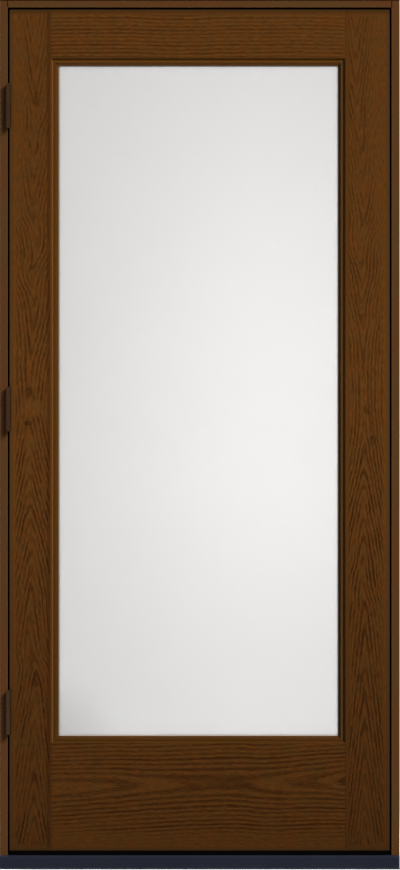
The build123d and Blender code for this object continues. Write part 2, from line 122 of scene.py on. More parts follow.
class Graph:
    """A material's nodes, with one short call for each kind that the finishes use."""

    def __init__(self, name: str) -> None:
        """Starts a material that holds a Principled shader and its output.

        Args:
            name: The material's name.
        """
        self.material = bpy.data.materials.new(name)
        self.material.use_nodes = True
        self.tree = self.material.node_tree
        self.shader = self.tree.nodes["Principled BSDF"]
        coordinates = self.tree.nodes.new("ShaderNodeTexCoord")
        axes = self.tree.nodes.new("ShaderNodeSeparateXYZ")
        self.tree.links.new(coordinates.outputs["Object"], axes.inputs[0])
        self.x, self.y, self.z = axes.outputs

    def feed(self, target: Socket, value: Value | Colour) -> None:
        """Links a socket to a target, or writes a plain value on it.

        Args:
            target: The socket that takes the value.
            value: A socket, a number or a colour.
        """
        if isinstance(value, Socket):
            self.tree.links.new(value, target)
        else:
            target.default_value = value

    def finish(self, **values: Value | Colour) -> bpy.types.Material:
        """Feeds the shader's own sockets.

        Args:
            **values: A value for each socket, whose name has _ for a space.

        Returns:
            The finished material.
        """
        for name, value in values.items():
            self.feed(self.shader.inputs[name.replace("_", " ")], value)
        return self.material

    def math(self, operation: str, *values: Value, clamp: bool = False) -> Socket:
        """Adds a Math node.

        Args:
            operation: The node's operation, such as MULTIPLY.
            *values: One to three numbers or sockets.
            clamp: Whether the result is held from 0 to 1.

        Returns:
            The result's socket.
        """
        node = self.tree.nodes.new("ShaderNodeMath")
        node.operation = operation
        node.use_clamp = clamp
        for target, value in zip(node.inputs, values):
            self.feed(target, value)
        return node.outputs[0]

    def chain(self, operation: str, values: tuple[Value, ...]) -> Socket:
        """Joins several numbers by one operation, two at a time."""
        return reduce(lambda first, second: self.math(operation, first, second), values)

    def total(self, *values: Value) -> Socket:
        """Adds several numbers up."""
        return self.chain("ADD", values)

    def times(self, *values: Value) -> Socket:
        """Multiplies several numbers."""
        return self.chain("MULTIPLY", values)

    def least(self, *values: Value) -> Socket:
        """Gives the smallest of several numbers."""
        return self.chain("MINIMUM", values)

    def most(self, *values: Value) -> Socket:
        """Gives the largest of several numbers."""
        return self.chain("MAXIMUM", values)

    def less(self, first: Value, second: Value) -> Socket:
        """Takes the second number from the first."""
        return self.math("SUBTRACT", first, second)

    def away(self, value: Value, middle: Value) -> Socket:
        """Gives how far a number lies from another, on either side."""
        return self.math("ABSOLUTE", self.less(value, middle))

    def reach(self, first: Value, second: Value) -> Socket:
        """Gives the length of the slope over two legs at a right angle."""
        return self.math("SQRT", self.total(self.times(first, first), self.times(second, second)))

    def swing(self, noise: Value, span: float) -> Socket:
        """Turns a noise from 0 to 1 into a swing of this span about 0."""
        return self.times(self.less(noise, 0.5), span)

    def step(self, value: Value, low: float, high: float, start: float = 0.0, end: float = 1.0) -> Socket:
        """Eases from one number to another while a value goes from low to high.

        Args:
            value: The number or socket that drives the step.
            low: Where the step begins. It may be above high.
            high: Where the step ends.
            start: The result up to low.
            end: The result from high on.

        Returns:
            The eased result's socket.
        """
        node = self.tree.nodes.new("ShaderNodeMapRange")
        node.interpolation_type = "SMOOTHSTEP"
        turned = low > high
        limits = (high, low, end, start) if turned else (low, high, start, end)
        for target, number in zip(node.inputs[:5], (value, *limits)):
            self.feed(target, number)
        return node.outputs[0]

    def curve(self, value: Value, points: tuple[Pair, ...]) -> Socket:
        """Draws a smooth line through points and reads it.

        Args:
            value: Where the line is read.
            points: Pairs of a place and the line's height there, in rising order of place.

        Returns:
            The line's height at the value.
        """
        places = [point[0] for point in points]
        heights = [point[1] for point in points]
        length = places[-1] - places[0]
        low = min(heights)
        span = max(heights) - low or 1.0
        share = self.math("DIVIDE", self.less(value, places[0]), length, clamp=True)
        node = self.tree.nodes.new("ShaderNodeFloatCurve")
        line = node.mapping.curves[0]
        while len(line.points) < len(points):
            line.points.new(0.5, 0.5)
        for point, place, height in zip(line.points, places, heights):
            point.location = ((place - places[0]) / length, (height - low) / span)
        node.mapping.update()
        self.feed(node.inputs["Value"], share)
        return self.math("MULTIPLY_ADD", node.outputs[0], span, low)

    def noise(self, place: tuple[Value, ...], detail: float = 2.0, roughness: float = 0.5) -> Socket:
        """Reads soft noise at a place.

        Args:
            place: Three numbers or sockets, already scaled to the noise's own cells.
            detail: How many finer layers it has.
            roughness: How strong each finer layer is beside the one before it.

        Returns:
            The noise's socket, from 0 to 1.
        """
        vector = self.tree.nodes.new("ShaderNodeCombineXYZ")
        for target, value in zip(vector.inputs, place):
            self.feed(target, value)
        node = self.tree.nodes.new("ShaderNodeTexNoise")
        self.feed(node.inputs["Vector"], vector.outputs[0])
        self.feed(node.inputs["Scale"], 1.0)
        self.feed(node.inputs["Detail"], detail)
        self.feed(node.inputs["Roughness"], roughness)
        return node.outputs[0]

    def speckle(self, cells: Triple, detail: float = 2.0, roughness: float = 0.5) -> Socket:
        """Reads soft noise that runs through the whole piece.

        Args:
            cells: Its cells for each metre along X, Y and Z.
            detail: How many finer layers it has.
            roughness: How strong each finer layer is beside the one before it.

        Returns:
            The noise's socket, from 0 to 1.
        """
        place = tuple(self.times(axis, scale) for axis, scale in zip((self.x, self.y, self.z), cells))
        return self.noise(place, detail, roughness)

    def chance(self, number: Value) -> Socket:
        """Gives each whole number a share of its own.

        Args:
            number: The whole number.

        Returns:
            A socket that gives its share, from 0 to 1.
        """
        node = self.tree.nodes.new("ShaderNodeTexWhiteNoise")
        node.noise_dimensions = "1D"
        self.feed(node.inputs["W"], number)
        return node.outputs["Value"]

    def mix(self, share: Value, first: Socket | Colour, second: Socket | Colour) -> Socket:
        """Mixes two colours.

        Args:
            share: How much of the second colour is in the mix, from 0 to 1.
            first: The colour at a share of 0.
            second: The colour at a share of 1.

        Returns:
            The mixed colour's socket.
        """
        node = self.tree.nodes.new("ShaderNodeMix")
        node.data_type = "RGBA"
        for name, value in (("Factor_Float", share), ("A_Color", first), ("B_Color", second)):
            self.feed(next(s for s in node.inputs if s.identifier == name), value)
        return next(s for s in node.outputs if s.identifier == "Result_Color")

    def scaled(self, colour: Socket | Colour, share: Value) -> Socket:
        """Darkens or lightens a colour.

        Args:
            colour: The colour.
            share: The share of itself that it is brought to.

        Returns:
            The new colour's socket.
        """
        node = self.tree.nodes.new("ShaderNodeVectorMath")
        node.operation = "SCALE"
        self.feed(node.inputs[0], colour if isinstance(colour, Socket) else colour[:3])
        self.feed(node.inputs["Scale"], share)
        return node.outputs[0]

    def bump(self, height: Socket, depth: float, strength: float) -> Socket:
        """Turns a height into a normal.

        Args:
            height: The height, from 0 to 1.
            depth: Its full depth in metres.
            strength: How much of the relief shows, from 0 to 1.

        Returns:
            The normal's socket.
        """
        node = self.tree.nodes.new("ShaderNodeBump")
        self.feed(node.inputs["Strength"], strength)
        self.feed(node.inputs["Distance"], depth)
        self.feed(node.inputs["Height"], height)
        return node.outputs[0]


@dataclass(frozen=True)
class FlatNoise:
    """Noise on a flat face, drawn out in one of its two directions.

    Attributes:
        along: Cells for each metre along the grain.
        across: Cells for each metre across it.
        shift: Tells this noise from the others of its finish.
        detail: How many finer layers it has.
        roughness: How strong each finer layer is beside the one before it.
    """

    along: float
    across: float
    shift: float = 0.0
    detail: float = 2.0
    roughness: float = 0.5

    def read(self, graph: Graph, directions: tuple[Socket, Socket], seed: float) -> Socket:
        """Reads the noise.

        Args:
            graph: The material's nodes.
            directions: The place along the grain and the place across it.
            seed: Tells this finish's noise from another's.

        Returns:
            The noise's socket, from 0 to 1.
        """
        along, across = directions
        place = (graph.times(along, self.along), graph.times(across, self.across), seed + self.shift)
        return graph.noise(place, self.detail, self.roughness)


# Noises that bend an oak figure's rings, and how far they do for each ring of sway
RING_BEND = FlatNoise(3.0, 14.0)
RING_BEND_SPAN = 2.0
RING_RIPPLE = FlatNoise(22.0, 80.0, 7.0)
RING_RIPPLE_SPAN = 1.6
# Fine light streaks between the pores
STREAKS = FlatNoise(55.0, 400.0, 5.0, 1.0, 0.6)
# Parts of a ring between which one dark line fades out and the next gathers
LINE_FADES = (0.55, 0.2)
LINE_GATHERS = (0.78, 1.0)
# Strength of a line: what chance adds at most, and what every line has
LINE_CHANCE = 0.6
LINE_LEAST = 0.45
# Noise that fades the lines in patches, and the values between which it does
PATCHES = FlatNoise(15.0, 60.0, 3.0)
PATCH_SPAN = (0.3, 0.65)
# Rings to each side of the middle line over which the tips gain their full strength
TIP_WIDTH = 1.2
# Noise that frays the dark spots, the values between which it does, and what is left at the least
FIBRES = FlatNoise(90.0, 300.0, 8.0)
FIBRE_SPAN = (0.35, 0.6)
FIBRE_LEAST = 0.35
# Shares of a spot's squared reach between which it fades in from its rim
SPOT_FADE = (1.0, 0.1)
# Noise of the pore dashes, how much a line crowds them, and the values between which a pore opens
PORES = FlatNoise(62.0, 480.0, 9.0, 3.0, 0.6)
PORE_CROWDING = 0.2
PORE_SPAN = (0.5, 0.68)


@dataclass(frozen=True)
class OakBoard:
    """The sawn figure of one member of the slab.

    Attributes:
        grain: Which way the board runs.
        ring: Growth between two rings, in metres.
        middle: (place along, place across) points of the line that the figure is centred on, in metres.
        age: (place along, ring number) points along that line.
        phase: Where the dark lines fall between two whole ring numbers.
        sway: How far noise bends the rings, in rings.
        seed: Tells this board's noise from the others'.
        patchy: How strong the bands are where they fade.
        stitch: How far the fine streaks shift the bands, in rings.
        strength: (place along, strength of the bands) points.
        blunt: How round the tips are, in rings. At 0 the rings close as ellipses do.
        tip: How strong the bands are where they cross the middle line.
        spots: Dark places, each (place along, place across, half length, half width, strength).
        quiet: Places where the figure fades, each given as a spot is.
        tone: How light the board's stain is, as a share of the slab's.
    """

    grain: Grain
    ring: float
    middle: tuple[Pair, ...]
    age: tuple[Pair, ...]
    phase: float
    sway: float
    seed: float
    patchy: float
    stitch: float
    strength: tuple[Pair, ...]
    blunt: float = 0.0
    tip: float = 1.0
    spots: tuple[Spot, ...] = ()
    quiet: tuple[Spot, ...] = ()
    tone: float = 1.0

    def spot_share(self, graph: Graph, spot: Spot) -> Socket:
        """Draws a spot.

        Args:
            graph: The material's nodes.
            spot: Its place along and across, half length, half width and strength.

        Returns:
            The spot's strength at its middle, falling to 0 at its rim.
        """
        along, across = self.grain.directions(graph)
        spot_along, spot_across, half_length, half_width, strength = spot
        rise = graph.math("DIVIDE", graph.less(along, spot_along), half_length)
        aside = graph.math("DIVIDE", graph.less(across, spot_across), half_width)
        reach = graph.total(graph.times(rise, rise), graph.times(aside, aside))
        return graph.step(reach, *SPOT_FADE, 0.0, strength)

    def growth(self, graph: Graph, width: Socket, streaks: Socket) -> Socket:
        """Gives the ring that each point lies in, as a number with its fraction.

        Args:
            graph: The material's nodes.
            width: The place across, from the middle line, in rings.
            streaks: The fine streaks, which shift the rings.

        Returns:
            The ring number's socket.
        """
        directions = self.grain.directions(graph)
        age = graph.curve(directions[0], self.age)
        if self.blunt:
            reach = graph.math("SQRT", graph.total(graph.times(width, width), self.blunt**2))
            radius = graph.total(reach, age, -self.blunt)
        else:
            radius = graph.reach(width, age)
        bend = graph.swing(RING_BEND.read(graph, directions, self.seed), RING_BEND_SPAN * self.sway)
        ripple = graph.swing(RING_RIPPLE.read(graph, directions, self.seed), RING_RIPPLE_SPAN * self.sway)
        return graph.total(radius, bend, ripple, graph.swing(streaks, self.stitch), -self.phase)

    def bands(self, graph: Graph, width: Socket, growth: Socket) -> Socket:
        """Draws the dark lines of early growth, with the quiet places and the dark spots.

        Args:
            graph: The material's nodes.
            width: The place across, from the middle line, in rings.
            growth: The ring number, with its fraction.

        Returns:
            How dark the lines are, from 0 to 1.
        """
        directions = self.grain.directions(graph)
        number = graph.math("FLOOR", growth)
        part = graph.less(growth, number)
        line = graph.math("ADD", graph.step(part, *LINE_FADES), graph.step(part, *LINE_GATHERS), clamp=True)
        own_chance = graph.chance(graph.total(number, self.seed))
        weight = graph.math("MULTIPLY_ADD", own_chance, LINE_CHANCE, LINE_LEAST)
        faded = graph.step(PATCHES.read(graph, directions, self.seed), *PATCH_SPAN, self.patchy, 1.0)
        crossed = graph.step(graph.math("ABSOLUTE", width), 0.0, TIP_WIDTH, self.tip, 1.0)
        band = graph.times(line, weight, faded, crossed, graph.curve(directions[0], self.strength))
        for spot in self.quiet:
            band = graph.times(band, graph.less(1.0, self.spot_share(graph, spot)))
        frayed = graph.step(FIBRES.read(graph, directions, self.seed), *FIBRE_SPAN, FIBRE_LEAST, 1.0)
        for spot in self.spots:
            band = graph.most(band, graph.times(frayed, self.spot_share(graph, spot)))
        return band

    def figure(self, graph: Graph) -> tuple[Socket, Socket, Socket]:
        """Draws the board's early growth bands, the pores that crowd in them and the streaks between.

        Args:
            graph: The material's nodes.

        Returns:
            How dark the bands are, how open the pores are and how light the streaks are, each from 0 to 1.
        """
        along, across = directions = self.grain.directions(graph)
        width = graph.math("DIVIDE", graph.less(across, graph.curve(along, self.middle)), self.ring)
        streaks = STREAKS.read(graph, directions, self.seed)
        band = self.bands(graph, width, self.growth(graph, width, streaks))
        dashes = PORES.read(graph, directions, self.seed)
        pores = graph.step(graph.math("MULTIPLY_ADD", band, PORE_CROWDING, dashes), *PORE_SPAN)
        return band, pores, streaks


# Ring number of a stile's oldest tip
OLDEST_TIP = 64.0


def middle_line(tips: tuple[Triple, ...]) -> tuple[Pair, ...]:
    """Gives the line that a stile's tips lie on, as (height, place across)."""
    return tuple((height, across) for height, across, _ in tips)


def ring_ages(tips: tuple[Triple, ...]) -> tuple[Pair, ...]:
    """Gives the ring number that each height of a stile's middle line meets."""
    return tuple((height, OLDEST_TIP - younger) for height, _, younger in tips)


# Tips of the stiles' pointed figures: height, place across, and rings younger than the oldest
HINGE_STILE_TIPS = (
    (0.045, -0.395, 20.5), (0.191, -0.394, 17.5), (0.313, -0.394, 15.5), (0.441, -0.389, 13.5),
    (0.491, -0.394, 12.5), (0.564, -0.404, 11.5), (0.641, -0.402, 10.4), (0.703, -0.401, 9.2),
    (0.762, -0.401, 7.7), (0.810, -0.402, 6.4), (0.862, -0.403, 4.9), (0.915, -0.403, 3.4),
    (0.969, -0.405, 2.0), (1.063, -0.407, 0.0), (1.098, -0.408, -0.4), (1.135, -0.408, 0.0),
    (1.237, -0.400, 1.0), (1.290, -0.396, 2.0), (1.352, -0.394, 3.0), (1.409, -0.401, 4.5),
    (1.478, -0.386, 6.0), (1.545, -0.396, 7.0), (1.590, -0.398, 8.0), (1.642, -0.396, 9.0),
    (1.700, -0.394, 10.0), (1.752, -0.396, 11.0), (1.809, -0.389, 12.0), (1.840, -0.391, 12.6),
    (2.046, -0.391, 16.0),
)
LOCK_STILE_TIPS = (
    (0.045, 0.393, 17.9), (0.250, 0.393, 14.4), (0.458, 0.393, 11.4), (0.608, 0.393, 9.4),
    (0.687, 0.386, 8.0), (0.734, 0.389, 7.0), (0.827, 0.389, 5.0), (0.885, 0.390, 3.6),
    (0.921, 0.391, 2.6), (0.980, 0.392, 1.2), (1.110, 0.391, -0.4), (1.237, 0.389, 0.0),
    (1.300, 0.389, 1.0), (1.352, 0.385, 2.0), (1.414, 0.387, 3.5), (1.478, 0.379, 5.0),
    (1.535, 0.387, 6.0), (1.588, 0.390, 7.0), (1.678, 0.388, 8.5), (1.775, 0.380, 10.0),
    (1.855, 0.372, 11.5), (2.046, 0.372, 15.0),
)
# How strong the figures are: place along the member, strength
HINGE_STILE_STRENGTH = (
    (0.045, 1.1), (0.40, 1.2), (0.62, 1.35), (0.80, 1.35), (0.95, 1.05), (1.20, 1.0), (1.65, 0.9),
    (2.046, 0.7),
)
LOCK_STILE_STRENGTH = (
    (0.045, 1.0), (0.45, 1.15), (0.70, 1.4), (0.90, 1.35), (1.02, 1.2), (1.25, 1.0), (1.60, 0.8),
    (2.046, 0.65),
)
TOP_RAIL_STRENGTH = ((-0.352, 0.95), (0.00, 0.85), (0.345, 0.75))
BOTTOM_RAIL_STRENGTH = ((-0.352, 1.0), (0.00, 1.1), (0.345, 1.1))
# How light the stain is at each height, as a share: darker towards the bottom and a little towards the head
STAIN_HEIGHT_TONE = (
    (0.045, 0.57), (0.09, 0.62), (0.25, 0.69), (0.45, 0.78), (0.62, 0.86), (0.80, 0.955), (1.00, 1.03),
    (1.20, 1.06), (1.40, 1.00), (1.60, 0.97), (1.80, 0.93), (2.05, 0.92),
)
# Dark places in those figures: height, place across, half length, half width, strength
HINGE_STILE_SPOTS = (
    (1.832, -0.389, 0.030, 0.008, 0.7), (1.588, -0.397, 0.013, 0.008, 0.6),
    (1.136, -0.405, 0.016, 0.014, 1.0), (1.061, -0.409, 0.010, 0.014, 1.0),
    (0.563, -0.409, 0.009, 0.006, 0.8), (0.441, -0.389, 0.012, 0.008, 0.9),
)
LOCK_STILE_SPOTS = (
    (1.094, 0.395, 0.014, 0.008, 0.8), (1.022, 0.414, 0.016, 0.013, 0.9),
    (1.060, 0.408, 0.040, 0.005, 0.7), (1.318, 0.388, 0.010, 0.006, 0.5),
    (0.992, 0.391, 0.010, 0.006, 0.6), (0.538, 0.377, 0.022, 0.007, 0.6),
    (0.530, 0.399, 0.018, 0.005, 0.5), (0.452, 0.384, 0.016, 0.010, 0.6),
)
# Places where those figures fade, given in the same way
HINGE_STILE_QUIET = (
    (1.86, -0.437, 0.42, 0.030, 0.9), (1.098, -0.398, 0.028, 0.036, 0.9),
    (1.50, -0.440, 0.25, 0.020, 0.5), (1.018, -0.406, 0.036, 0.013, 0.9),
    (0.388, -0.393, 0.050, 0.010, 0.6),
)
LOCK_STILE_QUIET = (
    (1.82, 0.432, 0.42, 0.040, 0.9), (1.42, 0.440, 0.30, 0.018, 0.5), (0.62, 0.440, 0.40, 0.014, 0.5),
)
# The bottom rail's smudges and plain strips: place along, height, half length, half width, strength
BOTTOM_RAIL_SPOTS = (
    (-0.300, 0.209, 0.024, 0.006, 0.55), (-0.278, 0.174, 0.024, 0.006, 0.55),
    (0.020, 0.201, 0.018, 0.005, 0.5), (0.030, 0.148, 0.014, 0.005, 0.45),
    (0.296, 0.200, 0.026, 0.007, 0.5),
)
BOTTOM_RAIL_QUIET = ((0.00, 0.043, 1.2, 0.052, 0.85), (-0.35, 0.075, 0.20, 0.040, 0.6))
# The rails' middle lines, as place along and height, and the ring numbers along them
TOP_RAIL_MIDDLE = ((-0.352, 1.80), (-0.20, 1.803), (-0.05, 1.798), (0.10, 1.803), (0.345, 1.80))
TOP_RAIL_AGE = ((-0.352, 6.0), (-0.20, 6.4), (-0.05, 5.9), (0.12, 6.5), (0.25, 6.1), (0.345, 6.4))
BOTTOM_RAIL_MIDDLE = (
    (-0.352, 0.191), (-0.195, 0.198), (-0.102, 0.201), (-0.011, 0.205), (0.084, 0.207), (0.156, 0.203),
    (0.265, 0.208), (0.345, 0.210),
)
BOTTOM_RAIL_AGE = (
    (-0.352, 2.70), (-0.285, 2.90), (-0.195, 3.40), (-0.102, 4.05), (-0.011, 4.32), (0.084, 4.30),
    (0.156, 3.98), (0.215, 3.65), (0.265, 3.40), (0.345, 2.50),
)


@dataclass(frozen=True)
class SlabOutline:
    """Where the slab and its glass end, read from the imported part.

    Attributes:
        left: The slab's left edge.
        right: Its right edge.
        bottom: Its foot.
        top: Its head.
        lite_left: The left edge of the beads round the glass.
        lite_right: Their right edge.
        lite_top: Their top.
    """

    left: float
    right: float
    bottom: float
    top: float
    lite_left: float
    lite_right: float
    lite_top: float

    @classmethod
    def read(cls) -> "SlabOutline":
        """Reads the outlines from the outside skin and the outside beads.

        Returns:
            The outlines.
        """
        low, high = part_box("outside_skin")
        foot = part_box("outside_bead_bottom")
        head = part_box("outside_bead_top")
        return cls(low.x, high.x, low.z, high.z, foot[0].x, foot[1].x, head[1].z)


@dataclass(frozen=True)
class StainedSkin:
    """A moulded oak-grained skin with a walnut stain.

    A strip's ends are the distances from its edge at which it is gone and at which it is whole.

    Attributes:
        name: The material's name.
        outline: Where the slab and its glass end.
        seed: Tells this skin's noise from the other's.
        red: The redder part of the stain.
        olive: The more olive part of the stain.
        dark: The stain gathered in early growth lines, and the colour of the painted shadow beside the beads
            and of the painted shade on the head's rounding.
        pore: The stain gathered in open pores.
        edge_highlight: A thin greyer line painted along the skin's outer edge as the eased edge's highlight.
        warm: The plain land inside that line.
        wear_and_highlight: A painted highlight on the eased arris of the skin's hinge side, which turns away
            from the light.
        clouds: The noise that turns the stain from red to olive.
        cloud_span: Its values between which the stain turns.
        streak: How far fine streaks along the grain lighten and darken the stain, as a share.
        streak_span: The streaks' values between which they turn from dark to light.
        line_depth: How much of the dark stain a line takes.
        pore_depth: How much of the pores' stain a pore takes, and as much again inside a line.
        seam: Half the width over which a stile's figure gives way to a rail's.
        hinge_plain: How far left of the beads the hinge stile's figure begins and is whole.
        lock_plain: How far right of the beads the lock stile's figure begins and is whole.
        rail_turn: How far below the beads' head the bottom rail's figure begins to give way to the top
            rail's, and where it has.
        land: How far inside the slab's edge the figure begins and is whole.
        shadow_starts: Where the dark strip left of the beads starts and is whole.
        shadow_ends: Its ends on its other side.
        shadow_depth: How dark that strip is.
        warm_ends: The ends of the plain land.
        warm_depth: How much of its own tone the land takes.
        edge_highlight_ends: The ends of that painted highlight line.
        head_shadow_ends: How far below the slab's head the painted shadow of the head jamb is whole, and
            where it is gone.
        head_shadow_tone: That painted shadow's tone, as a share.
        rounding_shade_ends: The ends of the painted shade on the head's rounding, beside the gap under the
            head jamb.
        rounding_shade_depth: How dark that painted shade is.
        relief_shares: How much the lines and the pores take from the moulded height.
        relief: The moulded relief's full depth.
        relief_strength: How much of the relief shows.
        roughness: The skin's roughness, and what a line adds to it.
    """

    name: str
    outline: SlabOutline
    seed: float
    red: Colour = shade(96, 56, 20)
    olive: Colour = shade(91, 57, 22)
    dark: Colour = shade(51, 25, 6)
    pore: Colour = shade(43, 21, 5)
    edge_highlight: Colour = shade(77, 54, 29)
    warm: Colour = shade(84, 50, 17)
    wear_and_highlight: Colour = shade(180, 127, 74)
    clouds: FlatNoise = FlatNoise(34.0, 22.0, detail=3.0, roughness=0.6)
    cloud_span: Pair = (0.4, 0.6)
    streak: float = 0.16
    streak_span: Pair = (0.32, 0.68)
    line_depth: float = 0.6
    pore_depth: float = 0.25
    seam: float = 1.5 * MM
    hinge_plain: Pair = (1 * MM, 5 * MM)
    lock_plain: Pair = (5 * MM, 11 * MM)
    rail_turn: Pair = (0.2, 0.1)
    land: Pair = (9 * MM, 19 * MM)
    shadow_starts: Pair = (1.5 * MM, 4 * MM)
    shadow_ends: Pair = (13 * MM, 8 * MM)
    shadow_depth: float = 0.45
    warm_ends: Pair = (11 * MM, 6 * MM)
    warm_depth: float = 0.75
    edge_highlight_ends: Pair = (5.2 * MM, 3.6 * MM)
    head_shadow_ends: Pair = (7 * MM, 15 * MM)
    head_shadow_tone: float = 0.76
    rounding_shade_ends: Pair = (1.7 * MM, 1.1 * MM)
    rounding_shade_depth: float = 0.85
    relief_shares: Pair = (0.6, 0.4)
    relief: float = 0.18 * MM
    relief_strength: float = 0.6
    roughness: Pair = (0.5, 0.14)

    def boards(self) -> dict[str, OakBoard]:
        """Gives the figure of each member.

        Returns:
            The boards of the two stiles and the two rails, by name.
        """
        return {
            "hinge_stile": OakBoard(
                Grain.UPRIGHT, ring=8.8 * MM, middle=middle_line(HINGE_STILE_TIPS),
                age=ring_ages(HINGE_STILE_TIPS), phase=-0.1, sway=0.42, seed=self.seed + 11.0, patchy=0.3,
                stitch=0.7, strength=HINGE_STILE_STRENGTH, blunt=0.8, tip=0.7, spots=HINGE_STILE_SPOTS,
                quiet=HINGE_STILE_QUIET,
            ),
            "lock_stile": OakBoard(
                Grain.UPRIGHT, ring=7.9 * MM, middle=middle_line(LOCK_STILE_TIPS),
                age=ring_ages(LOCK_STILE_TIPS), phase=-0.1, sway=0.42, seed=self.seed + 23.0, patchy=0.3,
                stitch=0.7, strength=LOCK_STILE_STRENGTH, blunt=0.8, tip=0.7, spots=LOCK_STILE_SPOTS,
                quiet=LOCK_STILE_QUIET, tone=0.985,
            ),
            "top_rail": OakBoard(
                Grain.LEVEL, ring=8.8 * MM, middle=TOP_RAIL_MIDDLE, age=TOP_RAIL_AGE, phase=0.0, sway=0.2,
                seed=self.seed + 31.0, patchy=0.6, stitch=0.25, strength=TOP_RAIL_STRENGTH, tone=1.08,
            ),
            "bottom_rail": OakBoard(
                Grain.LEVEL, ring=9.3 * MM, middle=BOTTOM_RAIL_MIDDLE, age=BOTTOM_RAIL_AGE, phase=0.4,
                sway=0.3, seed=self.seed + 43.0, patchy=0.6, stitch=0.2, strength=BOTTOM_RAIL_STRENGTH,
                spots=BOTTOM_RAIL_SPOTS, quiet=BOTTOM_RAIL_QUIET, tone=1.115,
            ),
        }

    def shares(self, graph: Graph) -> dict[str, Socket]:
        """Gives where each member's figure shows.

        Args:
            graph: The material's nodes.

        Returns:
            A share from 0 to 1 for each of the boards.
        """
        left, right, top = self.outline.lite_left, self.outline.lite_right, self.outline.lite_top
        on_hinge = graph.step(graph.x, left + self.seam, left - self.seam)
        on_lock = graph.step(graph.x, right - self.seam, right + self.seam)
        on_top = graph.step(graph.z, top - self.rail_turn[0], top - self.rail_turn[1])
        on_rail = graph.math("SUBTRACT", 1.0, graph.total(on_hinge, on_lock), clamp=True)
        hinge_plain = graph.step(graph.x, left - self.hinge_plain[0], left - self.hinge_plain[1])
        lock_plain = graph.step(graph.x, right + self.lock_plain[0], right + self.lock_plain[1])
        return {
            "hinge_stile": graph.times(on_hinge, hinge_plain),
            "lock_stile": graph.times(on_lock, lock_plain),
            "top_rail": graph.times(on_rail, on_top),
            "bottom_rail": graph.times(on_rail, graph.less(1.0, on_top)),
        }

    def figure(self, graph: Graph) -> tuple[Socket, Socket, Socket, Socket]:
        """Joins the members' figures.

        Args:
            graph: The material's nodes.

        Returns:
            The skin's lines, pores and streaks, and how far its tone is from the slab's.
        """
        shares = self.shares(graph)
        lines, pores, streaks, tone = 0.0, 0.0, 0.0, 0.0
        for name, board in self.boards().items():
            line, pore, streak = (graph.times(drawn, shares[name]) for drawn in board.figure(graph))
            lines = graph.total(lines, line)
            pores = graph.total(pores, pore)
            streaks = graph.total(streaks, streak)
            tone = graph.total(tone, graph.times(board.tone - 1.0, shares[name]))
        land = graph.step(self.edge_distance(graph), *self.land)
        return graph.times(lines, land), graph.times(pores, land), streaks, tone

    def edge_distance(self, graph: Graph) -> Socket:
        """Measures how far a point lies inside the slab's outer edge.

        Args:
            graph: The material's nodes.

        Returns:
            The distance's socket, in metres.
        """
        return graph.least(
            graph.less(graph.x, self.outline.left),
            graph.less(self.outline.right, graph.x),
            graph.less(graph.z, self.outline.bottom),
            graph.less(self.outline.top, graph.z),
        )

    def stain(self, graph: Graph, lines: Socket, pores: Socket, streaks: Socket) -> Socket:
        """Lays the stain in the figure.

        Args:
            graph: The material's nodes.
            lines: How dark the early growth lines are.
            pores: How open the pores are.
            streaks: How light the streaks are.

        Returns:
            The stain's colour.
        """
        cloud = self.clouds.read(graph, (graph.x, graph.z), self.seed)
        colour = graph.mix(graph.step(cloud, *self.cloud_span), self.red, self.olive)
        streaked = graph.step(streaks, *self.streak_span, 1.0 - self.streak, 1.0 + self.streak)
        colour = graph.mix(graph.times(lines, self.line_depth), graph.scaled(colour, streaked), self.dark)
        pore_share = graph.math("MULTIPLY_ADD", lines, self.pore_depth, self.pore_depth)
        return graph.mix(graph.times(pores, pore_share), colour, self.pore)

    def edges(self, graph: Graph, colour: Socket) -> Socket:
        """Lays the painted shadow beside the beads, the plain land, the painted highlights along the slab's
        edge and the painted shade below its head over the stain.

        Args:
            graph: The material's nodes.
            colour: The stain's colour.

        Returns:
            The colour with its strips.
        """
        # Painted shadow: a dark strip just left of the hinge-side beads.
        beside = graph.less(self.outline.lite_left, graph.x)
        shadow = graph.times(graph.step(beside, *self.shadow_starts), graph.step(beside, *self.shadow_ends))
        colour = graph.mix(graph.times(shadow, self.shadow_depth), colour, self.dark)
        edge = self.edge_distance(graph)
        colour = graph.mix(graph.times(graph.step(edge, *self.warm_ends), self.warm_depth), colour, self.warm)
        # Painted highlight: a thin greyer line along the slab's outer edge.
        colour = graph.mix(graph.step(edge, *self.edge_highlight_ends), colour, self.edge_highlight)
        # Painted highlight: a light arris along the hinge side's eased edge, which turns away from the light.
        arris = graph.less(graph.x, self.outline.left)
        colour = graph.mix(graph.step(arris, *ARRIS_HIGHLIGHT_ENDS), colour, self.wear_and_highlight)
        # Painted shadow of the head jamb: a darker strip below the slab's head.
        below = graph.less(self.outline.top, graph.z)
        colour = graph.scaled(colour, graph.step(below, *self.head_shadow_ends, self.head_shadow_tone, 1.0))
        # Painted shade: a dark line on the head's rounding, beside the gap under the head jamb.
        return graph.mix(graph.step(below, *self.rounding_shade_ends, 0.0, self.rounding_shade_depth), colour, self.dark)

    def material(self) -> bpy.types.Material:
        """Builds the skin's material.

        Returns:
            A material with each member's own figure, its stain, sheen and moulded relief.
        """
        graph = Graph(self.name)
        lines, pores, streaks, tone = self.figure(graph)
        colour = self.edges(graph, self.stain(graph, lines, pores, streaks))
        height_tone = graph.times(graph.curve(graph.z, STAIN_HEIGHT_TONE), graph.total(tone, 1.0))
        line_depth, pore_depth = self.relief_shares
        sunk = graph.total(graph.times(lines, line_depth), graph.times(pores, pore_depth))
        plain, in_line = self.roughness
        return graph.finish(
            Base_Color=graph.scaled(colour, height_tone),
            Roughness=graph.math("MULTIPLY_ADD", lines, in_line, plain),
            Specular_IOR_Level=WOOD_GLOSS,
            Normal=graph.bump(graph.less(1.0, sunk), self.relief, self.relief_strength),
        )


